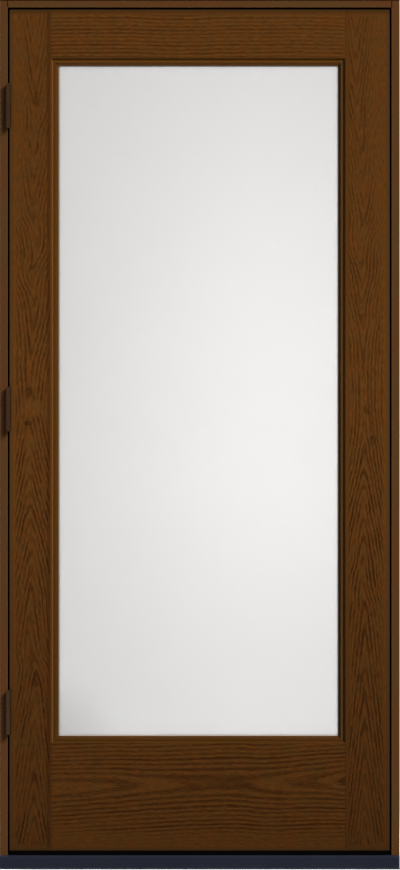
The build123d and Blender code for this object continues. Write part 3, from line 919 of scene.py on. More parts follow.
@dataclass(frozen=True)
class StainedTrim:
    """Smooth stained wood of the jambs, the glazing beads and the slab's edges.

    Attributes:
        name: The material's name.
        grain: Which way its faint streaks run.
        first: The redder part of the stain.
        second: The more olive part of the stain.
        streak: How strong the streaks are, from 0 to 1.
        seed: Tells this trim's noise from the others'.
        tone: How light the stain is at the door's foot and at its head, as shares.
        wear_and_highlight: Where its painted highlight lies: the middle and half width of a line across it.
        sheen: The colour of that painted highlight.
        sheen_depth: How much of that colour the line takes.
        sheen_core: The part of the line's half width that is whole.
        patches: The noise that turns one stain to the other.
        patch_span: Its values between which the stain turns.
        streaks: The noise of the streaks.
        streak_span: Its values between which a streak darkens.
        tone_heights: The heights between which that tone changes.
        cells: Cells of the fine surface for each metre.
        roughness: Lowest and highest roughness.
        relief: Depth of the fine surface.
        relief_strength: How much of it shows.
    """

    name: str
    grain: Grain
    first: Colour
    second: Colour
    streak: float
    seed: float
    tone: Pair = (1.0, 1.0)
    wear_and_highlight: Pair = (0.0, 0.0)
    sheen: Colour = shade(86, 60, 33)
    sheen_depth: float = 0.85
    sheen_core: float = 0.6
    patches: FlatNoise = FlatNoise(5.0, 40.0)
    patch_span: Pair = (0.35, 0.65)
    streaks: FlatNoise = FlatNoise(14.0, 700.0, 2.0)
    streak_span: Pair = (0.4, 0.75)
    tone_heights: Pair = (0.05, 1.2)
    cells: float = 900.0
    roughness: Pair = (0.46, 0.56)
    relief: float = 0.03 * MM
    relief_strength: float = 0.4

    def colour(self, graph: Graph) -> Socket:
        """Mixes the two stains in soft patches, with faint streaks along the grain, and paints a highlight
        line where one is given.

        Args:
            graph: The material's nodes.

        Returns:
            The colour's socket.
        """
        directions = self.grain.directions(graph)
        patches = self.patches.read(graph, directions, self.seed)
        streaks = self.streaks.read(graph, directions, self.seed)
        base = graph.mix(graph.step(patches, *self.patch_span), self.first, self.second)
        shadow = graph.step(streaks, *self.streak_span, 1.0, 1.0 - self.streak)
        tone = graph.step(graph.z, *self.tone_heights, *self.tone)
        toned = graph.scaled(base, graph.times(shadow, tone))
        middle, half = self.wear_and_highlight
        if not half:
            return toned
        # Painted highlight: a lighter line of sheen across the trim.
        aside = graph.away(directions[1], middle)
        line = graph.step(aside, half, self.sheen_core * half, 0.0, self.sheen_depth)
        return graph.mix(line, toned, self.sheen)

    def material(self) -> bpy.types.Material:
        """Builds the trim's material.

        Returns:
            The material.
        """
        graph = Graph(self.name)
        fine = graph.speckle((self.cells, self.cells, self.cells), detail=1.0)
        return graph.finish(
            Base_Color=self.colour(graph),
            Roughness=graph.step(fine, *MOST_NOISE, *self.roughness),
            Specular_IOR_Level=WOOD_GLOSS,
            Normal=graph.bump(fine, self.relief, self.relief_strength),
        )


@dataclass(frozen=True)
class StainedJamb(StainedTrim):
    """Trim with the dark lines of the head's joints and of the frame's top edge, and a painted highlight on
    the arris beside the reveal.

    Attributes:
        joint: How far the head's joints lie from the middle.
        joint_foot: The lowest height of the joints.
        top: The frame's top.
        line: The colour of those lines.
        joint_ends: The distances from a joint at which its line is gone and whole.
        top_ends: How far below the frame's top its line begins and is whole.
        arris_highlight: The painted highlight's colour on the eased arris beside the reveal, which turns from
            the light.
        arris_highlight_shares: How strong that painted highlight is on the left jamb, whose arris faces the
            light, and on the others.
        face_ends: How far behind the outside face that painted highlight is gone and whole.
    """

    joint: float = 0.0
    joint_foot: float = 0.0
    top: float = 0.0
    line: Colour = shade(44, 24, 6)
    joint_ends: Pair = (1.9 * MM, 0.7 * MM)
    top_ends: Pair = (4.5 * MM, 3.4 * MM)
    arris_highlight: Colour = shade(180, 130, 80)
    arris_highlight_shares: Pair = (0.12, 1.0)
    face_ends: Pair = (2.0 * MM, 1.6 * MM)

    def arris(self, graph: Graph) -> Socket:
        """Gives how strong the painted highlight is along the eased edge beside the reveal.

        Args:
            graph: The material's nodes.

        Returns:
            The share's socket, from 0 to 1.
        """
        if self.grain is Grain.UPRIGHT:
            inward = graph.less(graph.math("ABSOLUTE", graph.x), self.joint)
            side_highlight = graph.step(graph.x, -MM, MM, *self.arris_highlight_shares)
            share = graph.times(side_highlight, graph.step(graph.z, self.joint_foot, self.joint_foot - MM))
        else:
            inward = graph.less(graph.z, self.joint_foot)
            share = self.arris_highlight_shares[1]
        return graph.times(graph.step(inward, *ARRIS_HIGHLIGHT_ENDS), graph.step(graph.y, *self.face_ends), share)

    def colour(self, graph: Graph) -> Socket:
        """Adds the joints, the top edge and the painted highlight on the arris to the plain trim.

        Args:
            graph: The material's nodes.

        Returns:
            The colour's socket.
        """
        plain = super().colour(graph)
        aside = graph.away(graph.math("ABSOLUTE", graph.x), self.joint)
        above = graph.step(graph.z, self.joint_foot - MM, self.joint_foot)
        joint = graph.times(graph.step(aside, *self.joint_ends), above)
        top = graph.step(graph.z, self.top - self.top_ends[0], self.top - self.top_ends[1])
        lined = graph.mix(graph.most(joint, top), plain, self.line)
        # Painted highlight on the arris beside the reveal.
        return graph.mix(self.arris(graph), lined, self.arris_highlight)


@dataclass(frozen=True)
class SatinGlass:
    """Acid-etched privacy glass, its tint painted with a pool of light and with shade towards its edges, its
    foot and one corner.

    Attributes:
        name: The material's name.
        corner: The corner of its painted shade, as (across, height).
        lit_tint: Its tint in the middle of the painted pool of light.
        shaded_tint: Its painted shade's tint, far from there.
        lit_centre: The middle of the painted pool of light, as (across, height).
        reach: The half width and half height of that painted pool of light.
        shade_from: How many times that reach away the tint is all painted shade.
        foot_shade_heights: The heights between which the painted shade at the foot ends.
        foot_shade_tone: That painted shade's tone, as a share.
        shaded_corner_reach: How far the painted shade in the corner reaches.
        shaded_corner_tone: That painted shade's tone, as a share.
        roughness: How much it blurs what is behind it.
        etch: The noise of the etched surface.
        etch_depth: How deep the etch is.
        etch_strength: How much of it shows.
        index: Its refractive index.
    """

    name: str
    corner: Pair
    lit_tint: Colour = shade(244, 243, 242)
    shaded_tint: Colour = shade(211, 210, 209)
    lit_centre: Pair = (0.20, 1.10)
    reach: Pair = (0.48, 0.86)
    shade_from: float = 1.6
    foot_shade_heights: Pair = (0.3, 0.95)
    foot_shade_tone: float = 0.92
    shaded_corner_reach: float = 0.17
    shaded_corner_tone: float = 0.80
    roughness: float = 0.4
    etch: FlatNoise = FlatNoise(1500.0, 1500.0, detail=1.0)
    etch_depth: float = 0.02 * MM
    etch_strength: float = 0.3
    index: float = 1.5

    def material(self) -> bpy.types.Material:
        """Builds the glass.

        Returns:
            The material.
        """
        graph = Graph(self.name)
        # The tint is painted: a pool of light about the lit centre, and painted shade towards the edges, at
        # the foot and in one corner.
        across = graph.math("DIVIDE", graph.less(graph.x, self.lit_centre[0]), self.reach[0])
        height = graph.math("DIVIDE", graph.less(graph.z, self.lit_centre[1]), self.reach[1])
        tint = graph.mix(graph.step(graph.reach(across, height), 0.0, self.shade_from), self.lit_tint, self.shaded_tint)
        tint = graph.scaled(tint, graph.step(graph.z, *self.foot_shade_heights, self.foot_shade_tone, 1.0))
        nearness = graph.reach(graph.less(graph.x, self.corner[0]), graph.less(graph.z, self.corner[1]))
        tint = graph.scaled(tint, graph.step(nearness, 0.0, self.shaded_corner_reach, self.shaded_corner_tone, 1.0))
        etch = self.etch.read(graph, (graph.x, graph.z), 0.0)
        return graph.finish(
            Base_Color=tint,
            Roughness=self.roughness,
            IOR=self.index,
            Transmission_Weight=1.0,
            Normal=graph.bump(etch, self.etch_depth, self.etch_strength),
        )


@dataclass(frozen=True)
class ClearGlass:
    """Plain float glass with a faint green tint.

    Attributes:
        name: The material's name.
        tint: Its tint.
        deep: The share of the tint where the glass is a little thicker.
        wave: The noise of its uneven tone.
        roughness: How much it blurs what is behind it.
        index: Its refractive index.
    """

    name: str
    tint: Colour = shade(252, 252, 251)
    deep: float = 0.98
    wave: FlatNoise = FlatNoise(6.0, 4.0, 3.0, detail=1.0)
    roughness: float = 0.02
    index: float = 1.5

    def material(self) -> bpy.types.Material:
        """Builds the glass, its tone a little uneven as float glass is.

        Returns:
            The material.
        """
        graph = Graph(self.name)
        deeper = tuple(self.deep * part for part in self.tint[:3]) + (1.0,)
        return graph.finish(
            Base_Color=graph.mix(self.wave.read(graph, (graph.x, graph.z), 0.0), self.tint, deeper),
            Roughness=self.roughness,
            IOR=self.index,
            Transmission_Weight=1.0,
        )


@dataclass(frozen=True)
class PlainFinish:
    """Metal, vinyl, foam or board: two close tones in a fine pattern.

    Attributes:
        name: The material's name.
        first: One tone.
        second: The other tone.
        pattern: Noise cells for each metre along X, Y and Z.
        roughness: Lowest and highest roughness.
        relief: Depth of the fine relief, in metres.
        metal: 1 on metal and 0 elsewhere.
        specular: The shader's specular level.
        clouds: Cells for each metre of the broad clouds in the tone.
        pattern_share: How much of the tone follows the fine pattern. The clouds have the rest.
        relief_strength: How much of the relief shows.
    """

    name: str
    first: Colour
    second: Colour
    pattern: Triple
    roughness: Pair
    relief: float
    metal: float = 0.0
    specular: float = 0.5
    clouds: float = 11.0
    pattern_share: float = 0.6
    relief_strength: float = 0.5

    def material(self) -> bpy.types.Material:
        """Builds the material.

        Returns:
            The material.
        """
        graph = Graph(self.name)
        grain = graph.speckle(self.pattern, detail=3.0, roughness=0.6)
        cloud = graph.speckle((self.clouds, self.clouds, self.clouds))
        cloud_share = graph.times(cloud, 1.0 - self.pattern_share)
        share = graph.math("MULTIPLY_ADD", grain, self.pattern_share, cloud_share)
        return graph.finish(
            Base_Color=graph.mix(graph.step(share, *MOST_NOISE), self.first, self.second),
            Roughness=graph.step(grain, *MOST_NOISE, *self.roughness),
            Metallic=self.metal,
            Specular_IOR_Level=self.specular,
            Normal=graph.bump(grain, self.relief, self.relief_strength),
        )


def dress(names: list[str], finish: bpy.types.Material) -> None:
    """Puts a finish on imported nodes.

    Args:
        names: The nodes' names.
        finish: The material that fills their slots.
    """
    for name in names:
        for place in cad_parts[name].material_slots:
            place.material = finish
        LOG.info("dressed %s with %s", name, finish.name)


def new_piece(name: str, work: bmesh.types.BMesh, finish: bpy.types.Material) -> bpy.types.Object:
    """Makes a piece from a mesh under construction.

    Args:
        name: The piece's name.
        work: Its mesh, which is freed here.
        finish: Its material.

    Returns:
        The piece, linked to the scene.
    """
    bmesh.ops.recalc_face_normals(work, faces=work.faces)
    mesh = bpy.data.meshes.new(name)
    work.to_mesh(mesh)
    work.free()
    piece = bpy.data.objects.new(name, mesh)
    bpy.context.scene.collection.objects.link(piece)
    mesh.materials.append(finish)
    return piece


@dataclass
class Jambs:
    """The side jambs and the head, with the seals pressed into them.

    Attributes:
        red: The redder part of their stain.
        olive: The more olive part of their stain.
        streak: How strong their streaks are.
        joint_share: How far down the head's end joints reach, as a share of a jamb's width.
    """

    red: Colour = shade(90, 55, 28)
    olive: Colour = shade(85, 59, 31)
    streak: float = 0.1
    joint_share: float = 0.6

    def stain(self, name: str, grain: Grain, seed: float) -> bpy.types.Material:
        """Builds the stain for one run of jamb.

        Args:
            name: The material's name.
            grain: Which way the run's grain goes.
            seed: Tells its noise from the other run's.

        Returns:
            The material.
        """
        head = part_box("head_jamb")[1]
        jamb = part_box("hinge_jamb")
        foot = head.z - (jamb[1].x - jamb[0].x) * self.joint_share
        return StainedJamb(
            name, grain, self.red, self.olive, self.streak, seed, joint=head.x, joint_foot=foot, top=head.z
        ).material()

    def build(self) -> None:
        """Dresses the jambs and their seals."""
        dress(["hinge_jamb", "strike_jamb"], self.stain("side_jamb_stain", Grain.UPRIGHT, seed=2.0))
        dress(["head_jamb"], self.stain("head_jamb_stain", Grain.LEVEL, seed=5.0))
        foam = PlainFinish(
            "weather_seal_foam", shade(20, 17, 15), shade(30, 26, 23), pattern=(500.0, 500.0, 500.0),
            roughness=(0.6, 0.75), relief=0.05 * MM, specular=0.3,
        )
        dress(["hinge_side_seal", "strike_side_seal", "head_seal", "threshold_seal"], foam.material())


@dataclass
class Sill:
    """The fluted deck, its base and the bumper behind the slab.

    Attributes:
        paint: One tone of the deck's paint.
        wear_and_highlight: Its other tone.
        board: One tone of the base.
        chaff: Its other tone.
    """

    paint: Colour = shade(33, 36, 47)
    wear_and_highlight: Colour = shade(37, 41, 51)
    board: Colour = shade(96, 92, 86)
    chaff: Colour = shade(120, 114, 106)

    def build(self) -> None:
        """Dresses the sill."""
        metal = PlainFinish(
            "sill_paint", self.paint, self.wear_and_highlight, pattern=(60.0, 900.0, 900.0), roughness=(0.42, 0.55),
            relief=0.02 * MM, specular=0.06,
        )
        board = PlainFinish(
            "sill_board", self.board, self.chaff, pattern=(300.0, 300.0, 300.0), roughness=(0.7, 0.85),
            relief=0.1 * MM,
        )
        dress(["sill_deck", "threshold_bumper"], metal.material())
        dress(["sill_base"], board.material())


@dataclass
class Slab:
    """The door leaf: two moulded skins, its edges and core, and the sweep below.

    Attributes:
        edge_red: The redder part of the edges' stain.
        edge_olive: The more olive part of the edges' stain.
        edge_streak: How strong the edges' streaks are.
    """

    edge_red: Colour = shade(72, 42, 16)
    edge_olive: Colour = shade(64, 40, 18)
    edge_streak: float = 0.15

    def build(self) -> None:
        """Dresses the slab."""
        outline = SlabOutline.read()
        dress(["outside_skin"], StainedSkin("outside_oak", outline, seed=0.0).material())
        dress(["inside_skin"], StainedSkin("inside_oak", outline, seed=100.0).material())
        edge = StainedTrim(
            "stained_edge", Grain.UPRIGHT, self.edge_red, self.edge_olive, self.edge_streak, seed=9.0
        )
        dress(["hinge_stile", "lock_stile", "top_rail", "bottom_rail"], edge.material())
        foam = PlainFinish(
            "core_foam", shade(214, 196, 150), shade(226, 210, 170), pattern=(900.0, 900.0, 900.0),
            roughness=(0.8, 0.95), relief=0.2 * MM,
        )
        dress(["foam_core"], foam.material())
        vinyl = PlainFinish(
            "sweep_vinyl", shade(3, 2, 2), shade(7, 6, 6), pattern=(40.0, 600.0, 600.0),
            roughness=(0.55, 0.7), relief=0.03 * MM, specular=0.02,
        )
        dress(["door_sweep"], vinyl.material())


@dataclass(frozen=True)
class BeadRun:
    """How one run of bead is stained.

    Attributes:
        grain: Which way its grain runs.
        tone: How light its stain is, as a share, set for each side as painted light and shade: darkest on the
            lock side, lightest at the top.
        inward: How far inside the bead's outer edge its painted highlight line lies, along +X or +Z.
        half: Half the width of that line.
        sheen: The painted highlight line's colour.
    """

    grain: Grain
    tone: float
    inward: float
    half: float
    sheen: Colour


@dataclass
class Lite:
    """The glass unit, its beads and the thin line of bedding round it.

    Attributes:
        bedding_widths: How far the bedding shows on the glass, on the left, right, bottom and top.
        bedding_rise: How far it stands off the glass at the bead.
        bedding_steps: Facets of its hollow face.
        bedding_pale: One tone of the bedding.
        bedding_warm: Its other tone.
        bedding_shade: Its painted shade on the hinge side and at the foot.
        bedding_deep_shade: Its deeper painted shade under the top bead.
        bedding_noise: The noise between its two tones.
        bedding_roughness: Its lowest and highest roughness.
        bedding_shade_ends: How far from the hinge side's and the bottom bead that painted shade is gone and
            whole.
        left_shade: How strong that painted shade is on the hinge side.
        foot_shade: How strong it is at the foot.
        deep_shade_ends: How far below the top bead the deeper painted shade begins and is whole.
        top_stain: How strong it is at the top.
        bead_red: The redder part of the beads' stain.
        bead_olive: The more olive part of their stain.
        bead_streak: How strong their streaks are.
        bead_seed: Tells their noise from the other trims'.
        bead_foot: How light their stain is at the door's foot, as a share of that at its head.
        bead_runs: How each run of bead is stained, with painted light and shade in each side's tone and a
            painted highlight line.
    """

    bedding_widths: tuple[float, float, float, float] = (2.4 * MM, 1.5 * MM, 2.4 * MM, 3.0 * MM)
    bedding_rise: float = 1.6 * MM
    bedding_steps: int = 6
    bedding_pale: Colour = shade(234, 224, 214)
    bedding_warm: Colour = shade(226, 214, 202)
    bedding_shade: Colour = shade(116, 92, 70)
    bedding_deep_shade: Colour = shade(88, 72, 54)
    bedding_noise: FlatNoise = FlatNoise(90.0, 90.0, 4.0)
    bedding_roughness: Pair = (0.4, 0.5)
    bedding_shade_ends: Pair = (5 * MM, 3 * MM)
    left_shade: float = 0.85
    foot_shade: float = 0.5
    deep_shade_ends: Pair = (6 * MM, 4 * MM)
    top_stain: float = 0.95
    bead_red: Colour = shade(92, 55, 20)
    bead_olive: Colour = shade(88, 56, 16)
    bead_streak: float = 0.18
    bead_seed: float = 14.0
    bead_foot: float = 0.72
    # Each run's tone is painted light or shade for its side; its sheen is a painted highlight line.
    bead_runs: dict[str, BeadRun] = field(default_factory=lambda: {
        "bottom": BeadRun(Grain.LEVEL, 0.9, 0.0, 0.0, shade(90, 60, 30)),
        "top": BeadRun(Grain.LEVEL, 1.25, -13.6 * MM, 2.4 * MM, shade(146, 96, 46)),
        "hinge_side": BeadRun(Grain.UPRIGHT, 0.84, 3.2 * MM, 2.2 * MM, shade(107, 68, 32)),
        "lock_side": BeadRun(Grain.UPRIGHT, 0.6, -9.4 * MM, 3.4 * MM, shade(86, 60, 33)),
    })

    def bedding(self, side: Side) -> bmesh.types.BMesh:
        """Makes the fillet of clear bedding in the corner between the beads and the glass.

        Args:
            side: The face of the slab that it lies on.

        Returns:
            A closed ring with mitred corners.
        """
        place = side.name.lower()
        low_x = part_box(f"{place}_bead_hinge_side")[1].x
        high_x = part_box(f"{place}_bead_lock_side")[0].x
        low_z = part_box(f"{place}_bead_bottom")[1].z
        high_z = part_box(f"{place}_bead_top")[0].z
        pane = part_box(f"{place}_pane")
        face = pane[0].y if side is Side.OUTSIDE else pane[1].y
        section = [(0.0, 0.0)]
        for step in range(self.bedding_steps + 1):
            turn = math.pi / 2 * step / self.bedding_steps
            section.append((1 - math.sin(turn), self.bedding_rise * (1 - math.cos(turn))))
        left, right, bottom, top = self.bedding_widths
        work = bmesh.new()
        corners = (
            (low_x, low_z, left, bottom), (high_x, low_z, -right, bottom),
            (high_x, high_z, -right, -top), (low_x, high_z, left, -top),
        )
        rings = [
            [work.verts.new((x + across * a, face + side.value * rise, z + up * a)) for a, rise in section]
            for x, z, across, up in corners
        ]
        for here, there in zip(rings, rings[1:] + rings[:1]):
            for first in range(len(section)):
                second = (first + 1) % len(section)
                work.faces.new((here[first], here[second], there[second], there[first]))
        return work

    def bedding_finish(self) -> bpy.types.Material:
        """Builds the bedding's material, with painted shade on the hinge side, at the foot and most under the
        top bead.

        Returns:
            The material.
        """
        graph = Graph("glass_bedding")
        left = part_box("outside_bead_hinge_side")[1].x
        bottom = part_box("outside_bead_bottom")[1].z
        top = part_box("outside_bead_top")[0].z
        # Painted shade on the bedding: darker on the hinge side and at the foot, darkest under the top bead.
        gone, whole = self.bedding_shade_ends
        at_left = graph.step(graph.x, left + gone, left + whole, 0.0, self.left_shade)
        at_foot = graph.step(graph.z, bottom + gone, bottom + whole, 0.0, self.foot_shade)
        gone, whole = self.deep_shade_ends
        at_top = graph.step(graph.z, top - gone, top - whole, 0.0, self.top_stain)
        grain = self.bedding_noise.read(graph, (graph.x, graph.z), 0.0)
        pale = graph.mix(graph.step(grain, *MOST_NOISE), self.bedding_pale, self.bedding_warm)
        stained = graph.mix(graph.most(at_left, at_foot), pale, self.bedding_shade)
        return graph.finish(
            Base_Color=graph.mix(at_top, stained, self.bedding_deep_shade),
            Roughness=graph.step(grain, *MOST_NOISE, *self.bedding_roughness),
        )

    def dress_unit(self) -> None:
        """Dresses the panes, the spacer between them and the tapes that hold them."""
        # The corner where the satin glass's tint is painted darker, as painted shade.
        corner = (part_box("outside_bead_hinge_side")[1].x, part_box("outside_bead_bottom")[1].z)
        dress(["outside_pane"], SatinGlass("satin_glass", corner).material())
        dress(["inside_pane"], ClearGlass("clear_glass").material())
        tape = PlainFinish(
            "glazing_tape", shade(28, 28, 28), shade(36, 36, 36), pattern=(500.0, 500.0, 500.0),
            roughness=(0.6, 0.7), relief=0.05 * MM,
        )
        dress(["outside_glazing_tape", "inside_glazing_tape"], tape.material())
        spacer = PlainFinish(
            "spacer_bar", shade(214, 214, 212), shade(222, 222, 220), pattern=(40.0, 40.0, 900.0),
            roughness=(0.6, 0.7), relief=0.02 * MM,
        )
        dress(["glass_spacer"], spacer.material())

    def dress_beads(self, side: Side) -> None:
        """Dresses the beads of one face.

        Args:
            side: The face of the slab.
        """
        for name, run in self.bead_runs.items():
            node = f"{side.name.lower()}_bead_{name}"
            low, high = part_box(node)
            outer = {"bottom": low.z, "top": high.z, "hinge_side": low.x, "lock_side": high.x}[name]
            stain = StainedTrim(
                f"{node}_stain", run.grain, self.bead_red, self.bead_olive, self.bead_streak, self.bead_seed,
                tone=(self.bead_foot * run.tone, run.tone), wear_and_highlight=(outer + run.inward, run.half),
                sheen=run.sheen,
            )
            dress([node], stain.material())

    def build(self) -> None:
        """Dresses the glass and its beads, and lays the bedding."""
        self.dress_unit()
        finish = self.bedding_finish()
        for side in Side:
            self.dress_beads(side)
            name = f"{side.name.lower()}_glass_bedding"
            piece = new_piece(name, self.bedding(side), finish)
            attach(piece, "door")
            LOG.info("built %s", piece.name)


@dataclass
class Hinges:
    """Three butt hinges with their countersunk screws.

    Attributes:
        head_radius: Radius of a screw's head.
        head_crown: How far the head's middle stands above its rim.
        rim_rise: How far its rim stands above the leaf.
        crown_rings: (share of the radius, share of the crown) of each ring inside the rim.
        recess_arm: Half the length of the cross recess.
        recess_half: Half the width of the recess's arms.
        recess_depth: How deep the recess is.
        recess_taper: The recess's size at its floor, as a share of that at its lip.
        facets: Sides of the head's rim.
        places: (distance from the pin, height from the hinge's middle) of each screw on a leaf.
        plate_depth: Depth of the strip at a leaf's back edge where its open face is measured.
        first_turn: How far the first screw is turned.
        next_turn: How much further each next screw is turned.
    """

    head_radius: float = 4.6 * MM
    head_crown: float = 0.16 * MM
    rim_rise: float = 0.04 * MM
    crown_rings: tuple[Pair, ...] = ((0.86, 0.75), (0.7, 1.0))
    recess_arm: float = 2.5 * MM
    recess_half: float = 0.55 * MM
    recess_depth: float = 1.5 * MM
    recess_taper: float = 0.6
    facets: int = 48
    places: tuple[Pair, ...] = (
        (38 * MM, 38 * MM), (22 * MM, 17 * MM), (22 * MM, -17 * MM), (38 * MM, -38 * MM),
    )
    plate_depth: float = 20 * MM
    first_turn: float = 0.7
    next_turn: float = 1.1

    def crown(self, work: bmesh.types.BMesh, place: Matrix) -> list[bmesh.types.BMVert]:
        """Adds the rim and the crown of one screw head to a mesh.

        Args:
            work: The mesh under construction.
            place: Takes the head from its own frame to its place.

        Returns:
            The corners of the crown's innermost ring.
        """
        profile = [(1.0, 0.0), (1.0, self.rim_rise)]
        profile += [(share, self.rim_rise + self.head_crown * rise) for share, rise in self.crown_rings]
        turns = [2 * math.pi * number / self.facets for number in range(self.facets)]
        rings = []
        for share, height in profile:
            radius = self.head_radius * share
            circle = [Vector((math.cos(turn) * radius, math.sin(turn) * radius, height)) for turn in turns]
            rings.append([work.verts.new(place @ point) for point in circle])
        for outer, inner in zip(rings, rings[1:]):
            for number in range(self.facets):
                after = (number + 1) % self.facets
                work.faces.new((outer[number], outer[after], inner[after], inner[number]))
        return rings[-1]

    def add_head(self, work: bmesh.types.BMesh, place: Matrix) -> None:
        """Adds one screw head, seen along its own +Z, to a mesh.

        Args:
            work: The mesh under construction.
            place: Takes the head from its own frame to its place.
        """
        inmost = self.crown(work, place)
        arm, half = self.recess_arm, self.recess_half
        cross = []
        for quarter in range(4):
            spin = Matrix.Rotation(math.pi / 2 * quarter, 4, "Z")
            cross += [spin @ Vector(corner) for corner in ((arm, -half, 0), (arm, half, 0), (half, half, 0))]
        top = Vector((0, 0, self.rim_rise + self.head_crown))
        bottom = top - Vector((0, 0, self.recess_depth))
        lip = [work.verts.new(place @ (point + top)) for point in cross]
        floor = [work.verts.new(place @ (point * self.recess_taper + bottom)) for point in cross]
        edges = []
        for loop in (inmost, lip):
            for first, second in zip(loop, loop[1:] + loop[:1]):
                edges.append(work.edges.get((first, second)) or work.edges.new((first, second)))
        bmesh.ops.triangle_fill(work, edges=edges, use_beauty=True)
        for number in range(len(cross)):
            after = (number + 1) % len(cross)
            work.faces.new((lip[number], lip[after], floor[after], floor[number]))
        work.faces.new(floor)

    def screws(self, name: str, leaf: str, toward: float, finish: bpy.types.Material) -> bpy.types.Object:
        """Makes the screws of one leaf.

        Args:
            name: The piece's name.
            leaf: The node that they are driven through.
            toward: +1 where the leaf's open face looks to +X and -1 where it looks to -X.
            finish: The screws' material.

        Returns:
            The joined screws.
        """
        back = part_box(leaf)[1].y
        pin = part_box(leaf.replace("jamb_leaf", "pin").replace("door_leaf", "pin"))
        axis = (pin[0] + pin[1]) / 2
        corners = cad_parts[leaf].data.vertices
        plate = [corner.co.x for corner in corners if corner.co.y > back - self.plate_depth]
        face = max(plate) if toward > 0 else min(plate)
        outward = Matrix.Rotation(toward * math.pi / 2, 4, "Y")
        work = bmesh.new()
        for number, (depth, height) in enumerate(self.places):
            twist = Matrix.Rotation(self.first_turn + self.next_turn * number, 4, "Z")
            spot = Matrix.Translation((face, axis.y + depth, axis.z + height))
            self.add_head(work, spot @ outward @ twist)
        return new_piece(name, work, finish)

    def build(self) -> None:
        """Dresses the hinges and drives their screws."""
        bronze = PlainFinish(
            "oiled_bronze", shade(54, 38, 26), shade(70, 49, 33), pattern=(260.0, 260.0, 260.0),
            roughness=(0.34, 0.5), relief=0.03 * MM, metal=1.0,
        ).material()
        for place in ("top", "middle", "bottom"):
            dress([f"{place}_hinge_jamb_leaf", f"{place}_hinge_door_leaf", f"{place}_hinge_pin"], bronze)
            jamb = self.screws(f"{place}_hinge_jamb_screws", f"{place}_hinge_jamb_leaf", 1.0, bronze)
            door = self.screws(f"{place}_hinge_door_screws", f"{place}_hinge_door_leaf", -1.0, bronze)
            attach(jamb, "frame")
            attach(door, "door")
            LOG.info("built %s and %s", jamb.name, door.name)


@dataclass(frozen=True)
class Lamp:
    """A square lamp that looks at the door.

    Attributes:
        name: Its name.
        place: Where it hangs.
        size: Its side.
        power: Its power in watts.
    """

    name: str
    place: Triple
    size: float
    power: float

    def hang(self, target: Vector) -> None:
        """Hangs the lamp.

        Args:
            target: The point that it looks at.
        """
        data = bpy.data.lights.new(self.name, "AREA")
        data.size = self.size
        data.energy = self.power
        lamp = bpy.data.objects.new(self.name, data)
        lamp.visible_glossy = False
        lamp.location = self.place
        lamp.rotation_euler = (target - Vector(self.place)).to_track_quat("-Z", "Y").to_euler()
        bpy.context.scene.collection.objects.link(lamp)


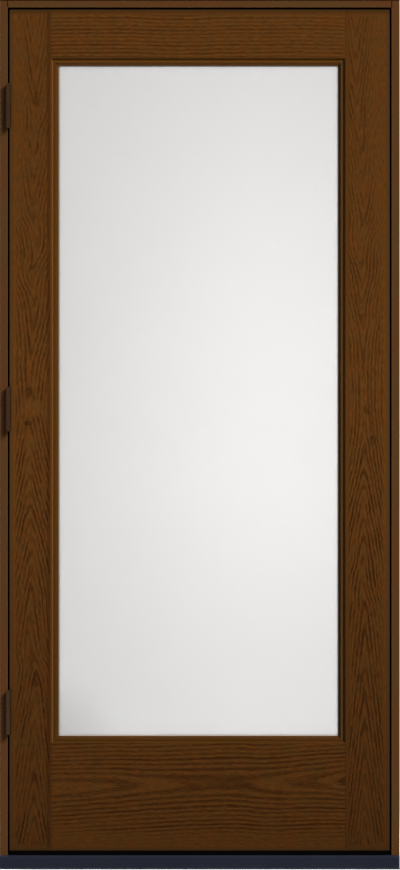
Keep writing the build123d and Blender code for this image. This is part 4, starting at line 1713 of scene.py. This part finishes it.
@dataclass
class Studio:
    """The pale floor, the lamps, the white surroundings and the camera.

    Attributes:
        floor_size: Side of the square floor.
        floor_colour: The floor as it is seen.
        floor_bounce: The floor as it lights the door, so that little light comes from below.
        floor_fade: Where the floor begins to fade to white, and where it is all white.
        floor_roughness: The floor's roughness.
        distance: From the camera to the frame's outside face.
        metres_per_pixel: Scale of the photograph in that plane.
        middle_x: Where the photograph's middle falls across the object.
        middle_z: Where it falls in height.
        height_px: Pixels over the photograph's long side.
        sensor: Height and width of the camera's sensor, in millimetres.
        sight: How far the camera sees.
        lamps: The main lamp and the one for the inside face.
        fill: Strength of the white surroundings as a light.
    """

    floor_size: float = 60.0
    floor_colour: Colour = shade(244, 244, 244)
    floor_bounce: Colour = shade(124, 124, 124)
    floor_fade: Pair = (2.5, 7.0)
    floor_roughness: float = 0.9
    distance: float = 40.0
    metres_per_pixel: float = 0.0023804
    middle_x: float = 0.0009
    middle_z: float = 1.0330
    height_px: float = 870.0
    sensor: float = 36.0
    sight: float = 200.0
    lamps: tuple[Lamp, ...] = (
        Lamp("key", (10.5, -10.5, 13.4), size=8.0, power=5150.0),
        Lamp("back", (-5.0, 7.5, 6.5), size=3.5, power=1400.0),
    )
    fill: float = 0.2

    def floor_finish(self) -> bpy.types.Material:
        """Builds the floor's material, which fades to white far from the door.

        Returns:
            The material.
        """
        graph = Graph("pale_floor")
        seen = looked_at(graph.tree)
        colour = graph.mix(seen, self.floor_bounce, self.floor_colour)
        far = graph.step(graph.reach(graph.x, graph.y), *self.floor_fade)
        return graph.finish(
            Base_Color=graph.scaled(colour, graph.less(1.0, far)),
            Roughness=self.floor_roughness,
            Specular_IOR_Level=0.0,
            Emission_Color=(1.0, 1.0, 1.0, 1.0),
            Emission_Strength=graph.times(far, seen),
        )

    def floor(self) -> None:
        """Lays a plain pale floor under the sill."""
        work = bmesh.new()
        bmesh.ops.create_grid(work, x_segments=1, y_segments=1, size=self.floor_size / 2)
        mesh = bpy.data.meshes.new("floor")
        work.to_mesh(mesh)
        work.free()
        piece = bpy.data.objects.new("floor", mesh)
        bpy.context.scene.collection.objects.link(piece)
        mesh.materials.append(self.floor_finish())

    def surroundings(self) -> None:
        """Makes the world white to the eye and to gloss and glass, and a weak fill elsewhere."""
        world = bpy.data.worlds.new("studio")
        world.use_nodes = True
        bpy.context.scene.world = world
        tree = world.node_tree
        background = tree.nodes["Background"]
        background.inputs["Color"].default_value = (1, 1, 1, 1)
        strength = tree.nodes.new("ShaderNodeMapRange")
        strength.inputs["To Min"].default_value = self.fill
        strength.inputs["To Max"].default_value = 1.0
        tree.links.new(looked_at(tree), strength.inputs["Value"])
        tree.links.new(strength.outputs[0], background.inputs["Strength"])

    def camera(self) -> None:
        """Stands a long-lensed camera square to the door, framed as the photograph."""
        data = bpy.data.cameras.new("camera")
        data.sensor_width = self.sensor
        data.lens = self.sensor * self.distance / (self.height_px * self.metres_per_pixel)
        data.clip_end = self.sight
        camera = bpy.data.objects.new("camera", data)
        camera.location = (self.middle_x, -self.distance, self.middle_z)
        camera.rotation_euler = (math.pi / 2, 0, 0)
        bpy.context.scene.collection.objects.link(camera)
        bpy.context.scene.camera = camera

    def build(self) -> None:
        """Sets up the whole studio."""
        self.floor()
        for lamp in self.lamps:
            lamp.hang(Vector((0, 0, self.middle_z)))
        self.surroundings()
        self.camera()
        bpy.context.scene.view_settings.view_transform = "Standard"


def main() -> None:
    """Builds and dresses every sub-assembly in order."""
    logging.basicConfig(level=logging.INFO, format="%(message)s")
    for part in (Jambs(), Sill(), Slab(), Lite(), Hinges(), Studio()):
        part.build()
        LOG.info("finished %s", type(part).__name__)


if __name__ == "__main__":
    main()
